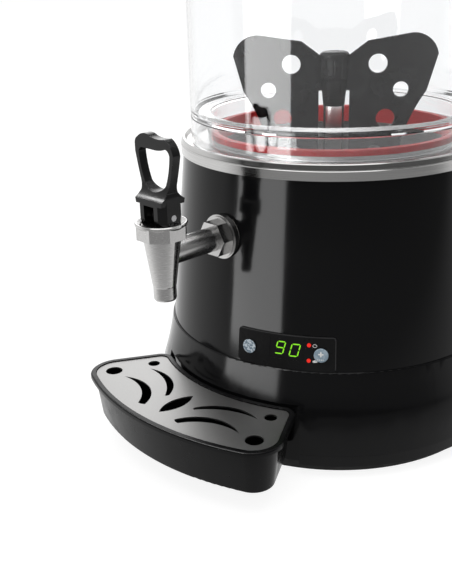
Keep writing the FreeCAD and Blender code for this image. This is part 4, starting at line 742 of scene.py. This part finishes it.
key_blue = mottled_key("button_blue", (0.2, 0.28, 0.35), (0.68, 0.76, 0.82), scale=560)
plus_blue = mottled_key("plus_blue", (0.3, 0.4, 0.48), (0.4, 0.5, 0.58), scale=200)
finish_on(key_blue, "set_button")
finish_on(plus_blue, "plus_button")
wear(key_cap("set_cap", key_angle("set_button")), "set_key", key_blue)
wear(key_cap("plus_cap", key_angle("plus_button")), "plus_key", plus_blue)

# A plus sign with a row of four short dashes below it.
cross = [bar((35.7, 0.1126), (37.56, 0.1126), 0.00065), bar((36.63, 0.1101), (36.63, 0.1151), 0.00065)]
dashes = [bar((left, 0.1079), (left + 0.42, 0.1079), 0.0005) for left in (35.5, 36.05, 36.6, 37.15)]
wear(strokes("plus_mark", cross + dashes, lift=0.0028), "plus_key", print_white)


# ---- inlet and switch ----
# A mains inlet with three pins and a rocker switch, both in fine-grained black plastic, at the back of the
# casing. The rocker's I and O marks are printed white.

ROCKER_TURN = math.radians(27)
ROCKER_RIGHT = np.array([-math.cos(ROCKER_TURN), -math.sin(ROCKER_TURN), 0])
ROCKER_OUT = np.array([-math.sin(ROCKER_TURN), math.cos(ROCKER_TURN), 0])
ROCKER_LEVEL = 0.118
ROCKER_REACH = 0.1584
UPPER_SLOPE = 0.174
LOWER_SLOPE = 0.104

inlet_black = moulded_satin("inlet_black", (0.014, 0.014, 0.014), (0.02, 0.02, 0.02), 0.45)
finish_on(inlet_black, "power_inlet", "switch_frame", "rocker_switch")
finish_on(turned_screw_steel("inlet_pin_steel"), "inlet_pins")


def on_rocker(across, level, lift):
    """Points over the rocker's two faces, which meet at z = ROCKER_LEVEL and stand ROCKER_REACH + slope
    (z - ROCKER_LEVEL) + lift out from the axis. Across is in metres to the right, as seen from behind."""
    rise = level - ROCKER_LEVEL
    out = ROCKER_REACH + rise * np.where(rise > 0, UPPER_SLOPE, LOWER_SLOPE) + lift
    return (across[..., None] * ROCKER_RIGHT + out[..., None] * ROCKER_OUT
            + level[..., None] * np.array([0, 0, 1.0]))


line_mark = (np.zeros(5), np.linspace(0.1214, 0.1262, 5), 0.00035)
circle_mark = (0.0021 * np.cos(loop), 0.1122 + 0.0021 * np.sin(loop), 0.0003)
wear(strokes("rocker_marks", [line_mark, circle_mark], lift=0.00006, place=on_rocker, unit=1.0), "rocker",
     print_white)


# ---- drip tray and grid ----
# A satin black moulded tray that hooks into the nest of the base, and a loose plate of fine-ground
# stainless steel in its rebate.

def fine_sheet(name, low, high, roughness):
    """Stainless sheet with a fine even grain."""
    finish = new_finish(name, high, roughness, metallic=1.0)
    grain = fine_noise(finish, scale=1400, detail=2.0)
    tint(finish, grain, low, high)
    roughen(finish, grain, roughness - 0.03, roughness + 0.04)
    relief(finish, grain, depth=0.000004)
    return finish


tray_black = moulded_satin("tray_black", (0.004, 0.004, 0.0043), (0.007, 0.007, 0.0074), 0.22,
                           depth=0.000006, specular=0.16)
lit_edges.objects.link(eased_copy("drip_tray", "tray", tray_black, width=0.0009, segments=3))
finish_on(fine_sheet("grid_steel", (0.33, 0.327, 0.323), (0.4, 0.397, 0.393), 0.4), "drip_grid")


# ---- finish ----

bpy.context.scene.view_settings.view_transform = "Standard"
